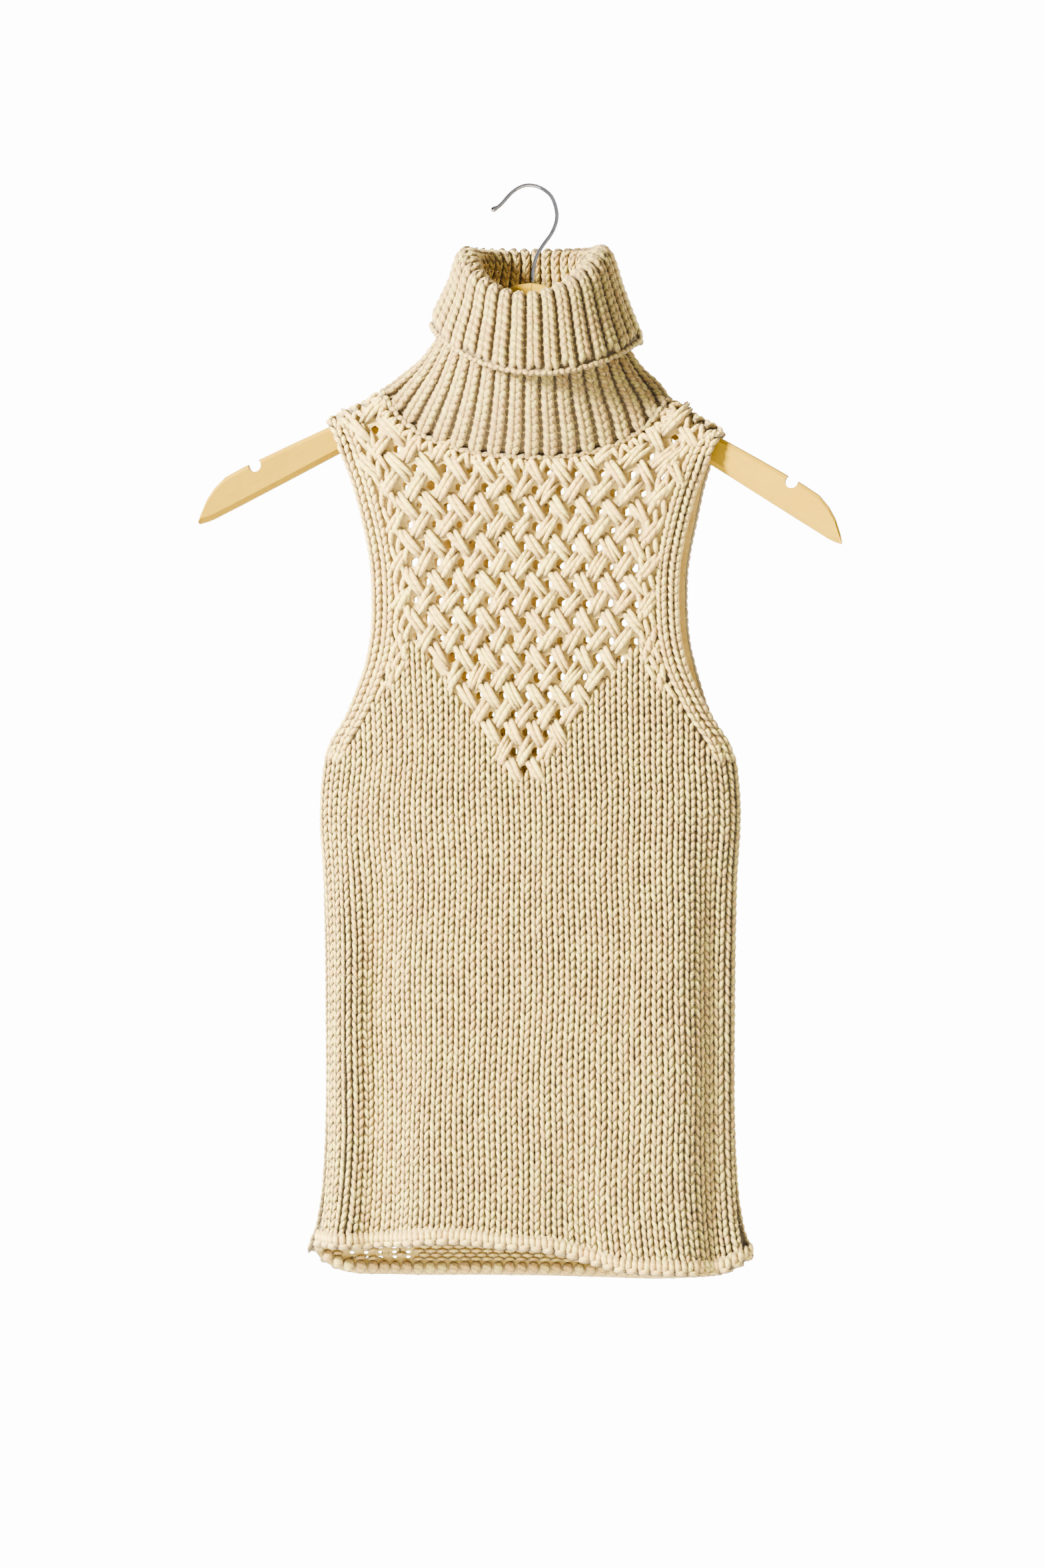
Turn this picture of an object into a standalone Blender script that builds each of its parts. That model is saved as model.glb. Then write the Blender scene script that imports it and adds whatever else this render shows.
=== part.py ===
"""Sleeveless turtleneck sweater on a contoured wooden hanger.

Millimetres inside the script, metres in the scene. +Z is up, the front faces -Y, and the origin is the
inner top of the hanger's hook, where a rail holds it. The garment is a front and a back panel that meet
at the sides and the shoulders, and a ribbed tube for the neck that is turned down over itself.
"""
import math
from collections import namedtuple

import bmesh
import bpy
import numpy as np
from mathutils import Vector
from mathutils.geometry import delaunay_2d_cdt

MM = 0.001
SEAM_GAP = 0.3
FACING_STEP = 0.25
SMOOTH_ANGLE = 0.7

# The hang of the whole thing: the hanger leans a little to its right
TILT = 0.038
TILT_PIVOT_X = 2.3
TILT_PIVOT_Z = -67.5
SHOULDER_SHIFT = -1.6
CONTOUR_RADIUS = 900.0
HANG_TOP = -215.0
HANG_END = -410.0

# Cloth: distances from the middle of the wall
INNER = 1.5
OUTER = 1.5
BAR_TOP = 4.5
GAP_RIM = 2.2
CROSSING = 1.1
ROPE_TOP = 3.6
HEM_ROLL = 4.4
RIB_TOP = 4.4
RIB_VALLEY = 1.3

# Neck and shoulders
NECK_HALF = 98.0
NECK_SIDE_Z = -147.0
NECK_DROP_FRONT = 41.0
NECK_DROP_BACK = 7.0
NECK_SHARE_POWER = 2.6
NECK_CURVE_POWER = 1.0 / 1.4
SHOULDER_TIP = 139.5
SHOULDER_SLOPE = 0.536
SHOULDER_ROUND = 10.0
SHOULDER_SOFT = 0.8
SHOULDER_FALL_FRONT = 0.21
SHOULDER_FALL_BACK = 0.16
SHOULDER_STATIONS = (SHOULDER_TIP, 133.0, 126.0, 119.0, 112.0, 105.0)
ROLL_STATIONS = (1.5, 5.0, 10.5)
NARROW = 107.0
UNDERARM_Z = -389.0
ARMHOLE_EDGE_DEPTH = 10.5
ARMHOLE_DEEPENS = 70.0
BACK_WIDER = 4.0
BACK_WIDER_LOW = (-372.0, -330.0)
BACK_WIDER_HIGH = (-235.0, -175.0)

# The bulge of a panel between its sides
CROWN_SHARE_POWER = 2.4
CROWN_POWER = 0.6

# Lattice yoke: gaps and bars alternate like the squares of a chessboard
HALF_PERIOD_TOP = 8.6
HALF_PERIOD_TIP = 7.5
ROW = 13.0
FIRST_ROW_Z = -200.0
TIP_Z = -413.0
V_SLOPE = 103.0 / 87.0
EDGE_WALES = 21.0
FAN_COLUMNS = 12.5
FAN_Z = -292.0
WIDE_PERIOD_Z = -300.0
LATTICE_ROWS = range(-4, 18)
LATTICE_COLUMNS = range(-13, 14)
LATTICE_EDGE = 9.0
NECK_CORNER = 4.0
GAP_MARGIN = 2.0
CROSSING_MARGIN = 1.0
BAR_STEP_Z = -330.0
CUT_COLUMNS = 8
BAR_HALF_LENGTH = 5.4
BAR_HALF_WIDTH = 2.1
GAP_HALF_WIDTH = 2.55
GAP_HALF_HEIGHT = 3.5

# Heights of the points along a panel's side, its armhole edge, the rope edges and the plain knit
SIDE_STATIONS = (-725.0, -690.0, -640.0, -580.0, -520.0, -465.0, -425.0, UNDERARM_Z)
ARMHOLE_STATIONS = (-376.0, -362.0, -345.0, -328.0, -308.0, -288.0, -268.0, -248.0, -228.0, -208.0, -190.0)
ROPE_STATIONS = (-372.0, -358.0, -342.0, -325.0, -307.0, -288.0, -268.0, -248.0, -228.0, -208.0, -192.0)
PLAIN_STATIONS = (-712.0, -680.0, -640.0, -595.0, -545.0, -495.0, -452.0, -420.0, -396.0, -372.0, -348.0, -326.0)
PLAIN_SHARES = (0.0, 0.2, 0.4, 0.58, 0.75, 0.88, 0.955)
PLAIN_EDGE_SHARE = 0.8
PLAIN_CLEAR_OUTER = 7.0
PLAIN_CLEAR_INNER = 10.0
# columns: distance in from the armhole edge, height of the cloth there
ROPE_PROFILE = ((4.0, ROPE_TOP), (8.0, OUTER), (12.0, ROPE_TOP), (16.0, OUTER))
ROLL_EDGE = 1.5
ROLL_CLEAR = 2.2

# Rolled hem
HEM_POINTS = 15
HEM_REACH = 138.0
HEM_CORNER = 149.0
HEM_CORNER_UP = 6.0
HEM_CORNER_ROLL = 2.9
HEM_ROLL_UP = 4.5
HEM_BAND = 9.5

# Turned-down collar
RIBS = 36

# columns: height, half width of the body and of the front armhole edge
SIDE = (
    (-765.0, 155.0),
    (-742.0, 154.0),
    (-728.0, 149.0),
    (-700.0, 144.5),
    (-650.0, 142.0),
    (-575.0, 142.0),
    (-485.0, 143.5),
    (-440.0, 146.0),
    (-405.0, 143.5),
    (-389.0, 138.5),
    (-373.0, 128.5),
    (-356.0, 120.5),
    (-335.0, 112.5),
    (-312.0, 108.0),
    (-285.0, 107.0),
    (-262.0, 108.3),
    (-235.0, 113.5),
    (-208.0, 120.8),
    (-187.0, 129.5),
    (-169.3, 139.5),
)
# columns: place across, height of the hem
HEM_FRONT = (
    (-154.5, -742.0),
    (-125.0, -743.0),
    (-88.0, -740.5),
    (-55.0, -737.5),
    (-20.0, -740.0),
    (20.0, -743.5),
    (46.0, -750.5),
    (68.0, -756.0),
    (105.0, -758.0),
    (136.0, -757.5),
    (154.3, -748.0),
)
HEM_BACK = (
    (-154.5, -742.0),
    (-148.0, -753.0),
    (-132.0, -761.5),
    (-95.0, -764.0),
    (-50.0, -764.5),
    (0.0, -764.0),
    (50.0, -764.5),
    (100.0, -764.0),
    (138.0, -759.0),
    (154.3, -748.0),
)
# columns: height, how far the middle of the front and of the back stand out
FULLNESS = (
    (-765.0, 29.0, 27.0),
    (-650.0, 27.0, 25.0),
    (-540.0, 25.0, 24.0),
    (-440.0, 24.0, 22.0),
    (-380.0, 22.5, 20.0),
    (-290.0, 22.0, 18.0),
    (-215.0, 26.0, 19.0),
    (-150.0, 33.0, 21.0),
)
# columns: top and bottom of a soft fold across, its top and bottom height, its half width and its height
Fold = namedtuple("Fold", "top_x bottom_x top_z bottom_z half_width rise")
FOLDS_FRONT = (
    Fold(118.0, 126.0, -395.0, -752.0, 9.0, -4.5),
    Fold(-118.0, -140.0, -560.0, -745.0, 16.0, 3.0),
    Fold(-62.0, -72.0, -600.0, -742.0, 22.0, 3.0),
    Fold(28.0, 44.0, -640.0, -752.0, 20.0, -3.5),
    Fold(88.0, 92.0, -470.0, -700.0, 22.0, 2.5),
)
FOLDS_BACK = (
    Fold(-112.0, -122.0, -420.0, -756.0, 12.0, -3.5),
    Fold(-30.0, -44.0, -560.0, -760.0, 24.0, 3.5),
    Fold(70.0, 84.0, -520.0, -760.0, 22.0, -3.0),
)
RING_POWER = 0.9
RING_HEIGHT_POWER = 1.5
RING_STEPS = 720
# columns: half width, reach to the front and the back, heights at the side, front and back, and
# how far across the ring's centre lies and how much it falls to its right
Ring = namedtuple("Ring", "half_width front back side_z front_z back_z centre_x fall")
COLLAR = (
    Ring(88.0, 34.0, 30.0, -136.5, -174.0, -142.0, 0.5, 0.040),
    Ring(74.0, 41.0, 36.0, -124.5, -157.0, -129.0, 1.5, 0.045),
    Ring(62.0, 46.0, 42.0, -107.0, -139.0, -111.0, 2.5, 0.055),
    Ring(54.0, 47.0, 44.0, -88.0, -120.0, -90.0, 3.0, 0.050),
    Ring(47.0, 44.0, 43.0, -66.0, -101.0, -65.0, 3.5, 0.030),
    Ring(42.0, 41.0, 41.0, -51.0, -88.0, -48.0, 3.5, 0.010),
    Ring(47.0, 46.0, 46.0, -45.5, -82.5, -42.5, 3.5, 0.000),
    Ring(52.0, 51.0, 51.0, -51.0, -87.0, -47.0, 4.0, 0.010),
    Ring(57.0, 54.5, 54.0, -67.0, -102.0, -62.0, 4.5, 0.035),
    Ring(65.0, 57.5, 56.5, -86.0, -120.0, -80.0, 4.5, 0.070),
    Ring(72.0, 59.5, 58.5, -102.0, -135.0, -97.0, 5.0, 0.095),
)
CREST_ROW = 6
NECK_RIB_ROWS = (1, 2, 3)
FOLD_RIB_ROWS = (6, 7, 8, 9, 10, 11)
RIB_STEPS = 3

# Wooden hanger, before it leans: columns are place across, top edge and bottom edge
WOOD = (
    (0.2, -67.5, -104.0),
    (9.0, -68.8, -104.6),
    (18.0, -72.0, -107.0),
    (28.0, -79.0, -112.0),
    (40.0, -93.0, -121.5),
    (52.0, -109.0, -134.0),
    (64.0, -124.0, -146.0),
    (76.0, -137.5, -155.5),
    (88.0, -146.6, -163.5),
    (100.0, -153.2, -172.0),
    (126.0, -166.6, -188.5),
    (165.0, -186.8, -211.5),
    (196.0, -203.5, -229.8),
    (208.0, -211.0, -236.8),
    (215.0, -219.0, -240.9),
    (219.5, -226.5, -242.9),
    (223.0, -236.0, -244.0),
    (224.5, -241.8, -244.4),
)
WOOD_THICK = 11.6
WOOD_ROUND = 3.4
WOOD_ROUND_SHARE = 0.42
WOOD_CHAMFER = 0.3
NOTCH_X = 189.6
NOTCH_TOP_Z = -199.0
NOTCH_WIDTH = 7.4
NOTCH_BULB = 4.6
NOTCH_DEPTH = 3.4
NOTCH_OPEN_DEGREES = 250.0
NOTCH_STEPS = 10
NOTCH_ABOVE = 6.0
NOTCH_HALF_CUT = 12.0

# Hook of bent wire, its middle line from the ball at its tip down to the wood
HOOK_WIRE = 1.35
HOOK_BALL = 2.1
HOOK_BALL_DEGREES = (80.0, 45.0, 0.0, -35.0)
HOOK_LINE = (
    (-24.9, -15.2),
    (-20.1, -12.2),
    (-13.4, -4.8),
    (-7.0, -0.3),
    (0.0, 1.35),
    (8.4, -0.9),
    (15.6, -6.8),
    (19.1, -16.2),
    (19.1, -24.4),
    (15.6, -33.0),
    (9.8, -40.8),
    (5.6, -48.0),
    (3.3, -55.5),
    (2.6, -62.0),
    (2.4, -67.0),
)
HOOK_STEPS = 3
HOOK_SIDES = 8

YARN = ("yarn", (0.71, 0.60, 0.44, 1.0), 0.9, 0.0)
RIB_YARN = ("rib_yarn", (0.68, 0.58, 0.44, 1.0), 0.9, 0.0)
WOOD_FINISH = ("varnished_wood", (0.78, 0.54, 0.25, 1.0), 0.35, 0.0)
CHROME = ("chrome_wire", (0.72, 0.72, 0.72, 1.0), 0.15, 1.0)


def material(finish):
    """One plain finish: name, colour, roughness and metallic value."""
    name, colour, roughness, metallic = finish
    known = bpy.data.materials.get(name)
    if known:
        return known
    made = bpy.data.materials.new(name)
    made.use_nodes = True
    shader = made.node_tree.nodes["Principled BSDF"]
    shader.inputs["Base Color"].default_value = colour
    shader.inputs["Roughness"].default_value = roughness
    shader.inputs["Metallic"].default_value = metallic
    return made


def along(rows, where, column=1):
    """Reads one column of a table on a smooth curve through its rows, which rise in the first column."""
    xs = [row[0] for row in rows]
    ys = [row[column] for row in rows]
    where = min(max(where, xs[0]), xs[-1])
    i = min(max(int(np.searchsorted(xs, where)) - 1, 0), len(xs) - 2)
    slopes = []
    for k in (i, i + 1):
        low, high = max(k - 1, 0), min(k + 1, len(xs) - 1)
        slopes.append((ys[high] - ys[low]) / (xs[high] - xs[low]))
    span = xs[i + 1] - xs[i]
    t = (where - xs[i]) / span
    value = (2 * t ** 3 - 3 * t ** 2 + 1) * ys[i] + (3 * t ** 2 - 2 * t ** 3) * ys[i + 1]
    return value + span * ((t ** 3 - 2 * t ** 2 + t) * slopes[0] + (t ** 3 - t ** 2) * slopes[1])


def ease(value, low, high):
    """0 below low, 1 above high, and smooth between."""
    t = min(max((value - low) / (high - low), 0.0), 1.0)
    return t * t * (3.0 - 2.0 * t)


def shoulder_line(x):
    """Height of the shoulder seam, carried on as a straight line beyond its ends."""
    return NECK_SIDE_Z - (abs(x) - NECK_HALF) * SHOULDER_SLOPE


def neck_line(x, drop):
    """Height of the neck seam across the front or the back."""
    share = min(abs(x) / NECK_HALF, 1.0)
    return NECK_SIDE_Z - drop * (1.0 - share ** NECK_SHARE_POWER) ** NECK_CURVE_POWER


def half_width(z, back):
    """Half width of a panel; the back is cut wider across the armholes."""
    if not back:
        return along(SIDE, z)
    return along(SIDE, z) + BACK_WIDER * ease(z, *BACK_WIDER_LOW) * (1.0 - ease(z, *BACK_WIDER_HIGH))


def folds(x, z, rows):
    """Height of the soft folds, each a long ridge or trough that fades out at its top end."""
    total = 0.0
    for fold in rows:
        down = (fold.top_z - z) / (fold.top_z - fold.bottom_z)
        middle = fold.top_x + (fold.bottom_x - fold.top_x) * down
        across = (x - middle) / fold.half_width
        total += fold.rise * ease(down, 0.0, 0.5) * math.exp(-across * across)
    return total


def stand_out(x, z, back):
    """How far a panel's middle line stands out from the plane that holds the seams."""
    share = min(abs(x) / half_width(z, back), 1.0)
    crown = (1.0 - share ** CROWN_SHARE_POWER) ** CROWN_POWER
    edge = ARMHOLE_EDGE_DEPTH * math.sqrt(ease(z, UNDERARM_Z, UNDERARM_Z + ARMHOLE_DEEPENS))
    middle = along(FULLNESS, z, 2 if back else 1)
    body = edge + (middle - edge) * crown
    body += folds(x, z, FOLDS_BACK if back else FOLDS_FRONT) * crown
    below = max(shoulder_line(x) - z, 0.0)
    if below < SHOULDER_ROUND:
        top = math.sqrt(SHOULDER_ROUND ** 2 - (SHOULDER_ROUND - below) ** 2)
    else:
        fall = SHOULDER_FALL_BACK if back else SHOULDER_FALL_FRONT
        top = SHOULDER_ROUND + fall * (below - SHOULDER_ROUND)
    low, high = min(body, top), max(body, top)
    return max(low - SHOULDER_SOFT * math.log1p(math.exp((low - high) / SHOULDER_SOFT)), 0.0)


def place(x, z, back):
    """The point of a panel's middle line above a flat place, hung and leaning."""
    hung = ease(z, HANG_END, HANG_TOP)
    y = -x * x / (2.0 * CONTOUR_RADIUS) * hung
    out = SEAM_GAP / 2.0 + stand_out(x, z, back)
    y += out if back else -out
    return Vector((x + SHOULDER_SHIFT * hung, y, z - TILT * x * hung))


def facing(x, z, back):
    """The way a panel faces at a flat place."""
    across = place(x + FACING_STEP, z, back) - place(x - FACING_STEP, z, back)
    up = place(x, z + FACING_STEP, back) - place(x, z - FACING_STEP, back)
    normal = across.cross(up).normalized()
    return -normal if back else normal


class Cut:
    """Points of one flat sheet: where they lie, how far they stand out, and how they face."""

    def __init__(self):
        self.flat = []
        self.rise = []
        self.seam = []
        self.loops = []
        self.creases = []
        self.known = {}

    def point(self, x, z, rise, seam=None):
        key = (round(x, 2), round(z, 2))
        if key not in self.known:
            self.known[key] = len(self.flat)
            self.flat.append((x, z))
            self.rise.append(rise)
            self.seam.append(seam)
        return self.known[key]

    def loop(self, points):
        self.loops.append([self.point(*point) for point in points])

    def near(self, x, z, reach):
        """True where a known point lies closer than the reach."""
        places = np.array(self.flat)
        return bool(np.any(np.hypot(places[:, 0] - x, places[:, 1] - z) < reach))


def inside(polygon, x, z):
    """True where a flat place is inside a closed outline."""
    hit = False
    for (x0, z0), (x1, z1) in zip(polygon, polygon[1:] + polygon[:1]):
        if (z0 > z) != (z1 > z) and x < x0 + (z - z0) * (x1 - x0) / (z1 - z0):
            hit = not hit
    return hit


def triangles(cut):
    """Cuts a flat sheet into triangles, without its gaps and the ground outside its outline."""
    edges = []
    for loop in cut.loops:
        edges += list(zip(loop, loop[1:] + loop[:1]))
    edges += cut.creases
    result = delaunay_2d_cdt([Vector(p) for p in cut.flat], edges, [], 0, 1e-5)
    origin = [ids[0] for ids in result[3]]
    outline = [cut.flat[i] for i in cut.loops[0]]
    gap_of = {}
    for number, loop in enumerate(cut.loops[1:]):
        for i in loop:
            gap_of[i] = number
    faces = []
    for face in result[2]:
        corners = [origin[i] for i in face]
        gaps = {gap_of.get(i) for i in corners}
        if len(gaps) == 1 and None not in gaps:
            continue
        x = sum(cut.flat[i][0] for i in corners) / 3.0
        z = sum(cut.flat[i][1] for i in corners) / 3.0
        if inside(outline, x, z):
            faces.append(corners)
    return faces


def mesh_object(name, verts, faces, finish):
    """A closed mesh object in metres, its faces turned outwards."""
    mesh = bpy.data.meshes.new(name)
    mesh.from_pydata([tuple(c * MM for c in v) for v in verts], [], faces)
    work = bmesh.new()
    work.from_mesh(mesh)
    bmesh.ops.recalc_face_normals(work, faces=work.faces)
    if work.calc_volume(signed=True) < 0.0:
        bmesh.ops.reverse_faces(work, faces=work.faces)
    bmesh.ops.triangulate(work, faces=[f for f in work.faces if len(f.verts) > 4])
    work.to_mesh(mesh)
    work.free()
    made = bpy.data.objects.new(name, mesh)
    bpy.context.collection.objects.link(made)
    mesh.shade_smooth()
    mesh.set_sharp_from_angle(angle=SMOOTH_ANGLE)
    mesh.materials.append(material(finish))
    return made


def rim(over_a, over_b, under_a, under_b, verts):
    """Two triangles of a wall's edge, split the same way on both sides of a seam."""
    if abs(verts[over_a].x) > abs(verts[over_b].x):
        return [[over_a, over_b, under_b], [over_a, under_b, under_a]]
    return [[over_a, over_b, under_a], [over_b, under_b, under_a]]


def wall(name, outer, inner, back, finish):
    """A cloth wall from its outer sheet and its plainer inner sheet, which share every rim."""
    verts = []
    for cut, side in ((outer, 1.0), (inner, -1.0)):
        for (x, z), rise, seam in zip(cut.flat, cut.rise, cut.seam):
            if isinstance(seam, tuple):
                middle, normal = seam
            else:
                middle, normal = place(x, z, back), facing(x, z, back)
                if seam == "flat":
                    normal = Vector((normal.x, 0.0, normal.z)).normalized()
            verts.append(middle + normal * (rise if side > 0 else -INNER))
    shift = len(outer.flat)
    faces = list(triangles(outer))
    faces += [[i + shift for i in reversed(face)] for face in triangles(inner)]
    for over, under in zip(outer.loops, inner.loops):
        count = len(over)
        for i in range(count):
            k = (i + 1) % count
            faces += rim(over[i], over[k], under[i] + shift, under[k] + shift, verts)
    return mesh_object(name, verts, faces, finish)


def lattice_place(column, row):
    """Flat place of a point of the lattice, in half periods across and rows down."""
    z = FIRST_ROW_Z - row * ROW
    share = ease(z, TIP_Z, WIDE_PERIOD_Z)
    half_period = HALF_PERIOD_TIP + (HALF_PERIOD_TOP - HALF_PERIOD_TIP) * share
    spread = max(along(SIDE, z) - NARROW, 0.0) if z > FAN_Z else 0.0
    fan = spread * (abs(column) / FAN_COLUMNS) ** 2
    return column * half_period + math.copysign(fan, column), z


def in_lattice(x, z, drop, margin=0.0):
    """True where a flat place belongs to the lattice yoke."""
    if z < TIP_Z + abs(x) * V_SLOPE + margin:
        return False
    if abs(x) > along(SIDE, z) - EDGE_WALES - margin:
        return False
    if abs(x) < NECK_HALF + NECK_CORNER and z > neck_line(x, drop) - LATTICE_EDGE - margin:
        return False
    return z < shoulder_line(x) - LATTICE_EDGE - margin


def add_lattice(outer, inner, drop):
    """Raises the bars of the lattice on the outer sheet and cuts its gaps through both."""
    gaps = 0
    for row in LATTICE_ROWS:
        for column in LATTICE_COLUMNS:
            x, z = lattice_place(column, row)
            if not in_lattice(x, z, drop):
                continue
            if (column + row) % 2:
                turn = 1.0 if row % 2 else -1.0
                step = HALF_PERIOD_TOP if z > BAR_STEP_Z else HALF_PERIOD_TIP
                length = math.hypot(step, ROW)
                along_bar = (turn * step / length, ROW / length)
                across_bar = (along_bar[1], -along_bar[0])
                corners = []
                for a, b in ((1, 1), (1, -1), (-1, -1), (-1, 1)):
                    px = x + along_bar[0] * a * BAR_HALF_LENGTH + across_bar[0] * b * BAR_HALF_WIDTH
                    pz = z + along_bar[1] * a * BAR_HALF_LENGTH + across_bar[1] * b * BAR_HALF_WIDTH
                    corners.append(outer.point(px, pz, BAR_TOP))
                outer.creases += list(zip(corners, corners[1:] + corners[:1]))
            elif abs(column) <= CUT_COLUMNS and in_lattice(x, z, drop, GAP_MARGIN):
                ring = [
                    (x, z + GAP_HALF_HEIGHT),
                    (x + GAP_HALF_WIDTH, z),
                    (x, z - GAP_HALF_HEIGHT),
                    (x - GAP_HALF_WIDTH, z),
                ]
                outer.loop([(px, pz, GAP_RIM) for px, pz in ring])
                inner.loop([(px, pz, 0.0) for px, pz in ring])
                gaps += 1
            for dx, dz in ((0.5, 0.5), (0.5, -0.5), (-0.5, 0.5), (-0.5, -0.5)):
                cx, cz = lattice_place(column + dx, row + dz)
                if in_lattice(cx, cz, drop, CROSSING_MARGIN):
                    outer.point(cx, cz, CROSSING)
    return gaps


def outline(back, neck):
    """Closed outline of a panel: hem, right side, armhole, shoulder, neck, and back down the left."""
    hem = HEM_BACK if back else HEM_FRONT
    points = [(x, z, OUTER, "flat" if i in (0, len(hem) - 1) else None) for i, (x, z) in enumerate(hem)]
    side = []
    for z in SIDE_STATIONS:
        side.append((half_width(z, back), z, OUTER, "flat"))
    for z in ARMHOLE_STATIONS:
        side.append((half_width(z, back), z, OUTER, None))
    for below in reversed(ROLL_STATIONS):
        z = shoulder_line(SHOULDER_TIP) - below
        side.append((half_width(z, back), z, OUTER, None))
    for x in SHOULDER_STATIONS:
        side.append((x, shoulder_line(x), OUTER, "flat"))
    points += side
    points += neck
    points += [(-x, z, rise, seam) for x, z, rise, seam in reversed(side)]
    return points


def side_ropes(cut, back):
    """The two raised rope edges along each armhole."""
    for z in ROPE_STATIONS:
        for inset, rise in ROPE_PROFILE:
            for side in (-1.0, 1.0):
                cut.point(side * (half_width(z, back) - inset), z, rise)


def shoulder_roll(cut, back):
    """Points where a panel bends over the top of the hanger."""
    for across in SHOULDER_STATIONS[1:]:
        for below in ROLL_STATIONS:
            for side in (-1.0, 1.0):
                x, z = side * across, shoulder_line(across) - below
                if abs(x) < half_width(z, back) - ROLL_EDGE and not cut.near(x, z, ROLL_CLEAR):
                    cut.point(x, z, OUTER)


def hem_roll(cut, back):
    """The edge that rolls outward along the hem."""
    hem = HEM_BACK if back else HEM_FRONT
    for x in np.linspace(-HEM_REACH, HEM_REACH, HEM_POINTS):
        z = along(hem, float(x))
        cut.point(float(x), z + HEM_ROLL_UP, HEM_ROLL)
        cut.point(float(x), z + HEM_BAND, OUTER)
    for side in (-1.0, 1.0):
        x = side * HEM_CORNER
        cut.point(x, along(hem, x) + HEM_CORNER_UP, HEM_CORNER_ROLL)


def plain_field(cut, clear):
    """Points of the plain knit, closer together where the panel turns in at its sides."""
    for z in PLAIN_STATIONS:
        for share in PLAIN_SHARES:
            for side in (-1.0, 1.0):
                x = side * share * along(SIDE, z)
                if share == 0.0 and side < 0.0:
                    continue
                if z > TIP_Z + abs(x) * V_SLOPE - LATTICE_EDGE:
                    continue
                if z > UNDERARM_Z and share > PLAIN_EDGE_SHARE:
                    continue
                if not cut.near(x, z, clear):
                    cut.point(x, z, OUTER)


def panel(name, back, neck_seam):
    """Front or back panel, with its lattice, rope edges, plain knit and rolled hem."""
    drop = NECK_DROP_BACK if back else NECK_DROP_FRONT
    outer, inner = Cut(), Cut()
    edge = outline(back, neck_seam)
    outer.loop(edge)
    inner.loop(edge)
    gaps = add_lattice(outer, inner, drop)
    side_ropes(outer, back)
    shoulder_roll(outer, back)
    shoulder_roll(inner, back)
    hem_roll(outer, back)
    plain_field(outer, PLAIN_CLEAR_OUTER)
    plain_field(inner, PLAIN_CLEAR_INNER)
    print(name, gaps, "gaps cut through")
    return wall(name, outer, inner, back, YARN)


def even_ring(curve, count):
    """Points at even distances round a closed curve, given as a function of an angle from the front."""
    steps = RING_STEPS
    dense = [curve(2.0 * math.pi * i / steps) for i in range(steps + 1)]
    lengths = np.cumsum([0.0] + [(b - a).length for a, b in zip(dense, dense[1:])])
    quarters = [0, steps // 4, steps // 2, 3 * steps // 4, steps]
    points = []
    for start, end in zip(quarters, quarters[1:]):
        goals = np.linspace(lengths[start], lengths[end], count // 4 + 1)[:-1]
        for goal in goals:
            i = min(int(np.searchsorted(lengths, goal, side="right")) - 1, steps - 1)
            share = (goal - lengths[i]) / max(lengths[i + 1] - lengths[i], 1e-9)
            points.append(dense[i].lerp(dense[i + 1], share))
    return points


def seam_curve(angle):
    """The neck seam, round from the front; it turns the corner at each shoulder."""
    x = NECK_HALF * math.sin(angle)
    back = math.cos(angle) < 0.0
    z = neck_line(x, NECK_DROP_BACK if back else NECK_DROP_FRONT)
    return place(x, min(z, shoulder_line(x)), back)


def ring_curve(ring):
    """A ring of the neck tube, round from the front."""
    def curve(angle):
        x = ring.centre_x + ring.half_width * math.sin(angle)
        c = math.cos(angle)
        reach = ring.front if c > 0.0 else ring.back
        far_z = ring.front_z if c > 0.0 else ring.back_z
        z = ring.side_z + (far_z - ring.side_z) * abs(c) ** RING_HEIGHT_POWER
        y = -math.copysign(reach * abs(c) ** RING_POWER, c)
        return Vector((x, y, z - ring.fall * (x - ring.centre_x)))
    return curve


def collar_grid(count):
    """Middle points and outward directions of the whole tube, ring by ring from the seam."""
    rings = [even_ring(seam_curve, count)] + [even_ring(ring_curve(r), count) for r in COLLAR]
    normals = []
    last = len(rings) - 1
    for r, ring in enumerate(rings):
        row = []
        for k, point in enumerate(ring):
            round_way = ring[(k + 1) % count] - ring[k - 1]
            up_way = rings[min(r + 1, last)][k] - rings[max(r - 1, 0)][k]
            row.append(round_way.cross(up_way).normalized())
        normals.append(row)
    return rings, normals


def neck_seams(rings, normals, count):
    """The points of the neck seam as the front and the back panel need them, from right to left."""
    quarter = count // 4
    step = RIB_STEPS

    def flat(point):
        z = point.z
        x = point.x
        for _ in range(6):
            hung = ease(z, HANG_END, HANG_TOP)
            x = point.x - SHOULDER_SHIFT * hung
            z = point.z + TILT * x * hung
        return x, z

    def seam(k):
        x, z = flat(rings[0][k % count])
        return x, z, OUTER, (rings[0][k % count], normals[0][k % count])

    front = [seam(k) for k in range(quarter, -quarter - 1, -step)]
    back = [seam(k) for k in range(quarter, 3 * quarter + 1, step)]
    return front, back


def corner(seam, back):
    """Moves a seam point at a shoulder's corner clear of the other panel."""
    x, z, rise, (point, normal) = seam
    shift = SEAM_GAP / 2.0
    moved = Vector((point.x, point.y + (shift if back else -shift), point.z))
    return x, z, rise, (moved, normal)


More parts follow.
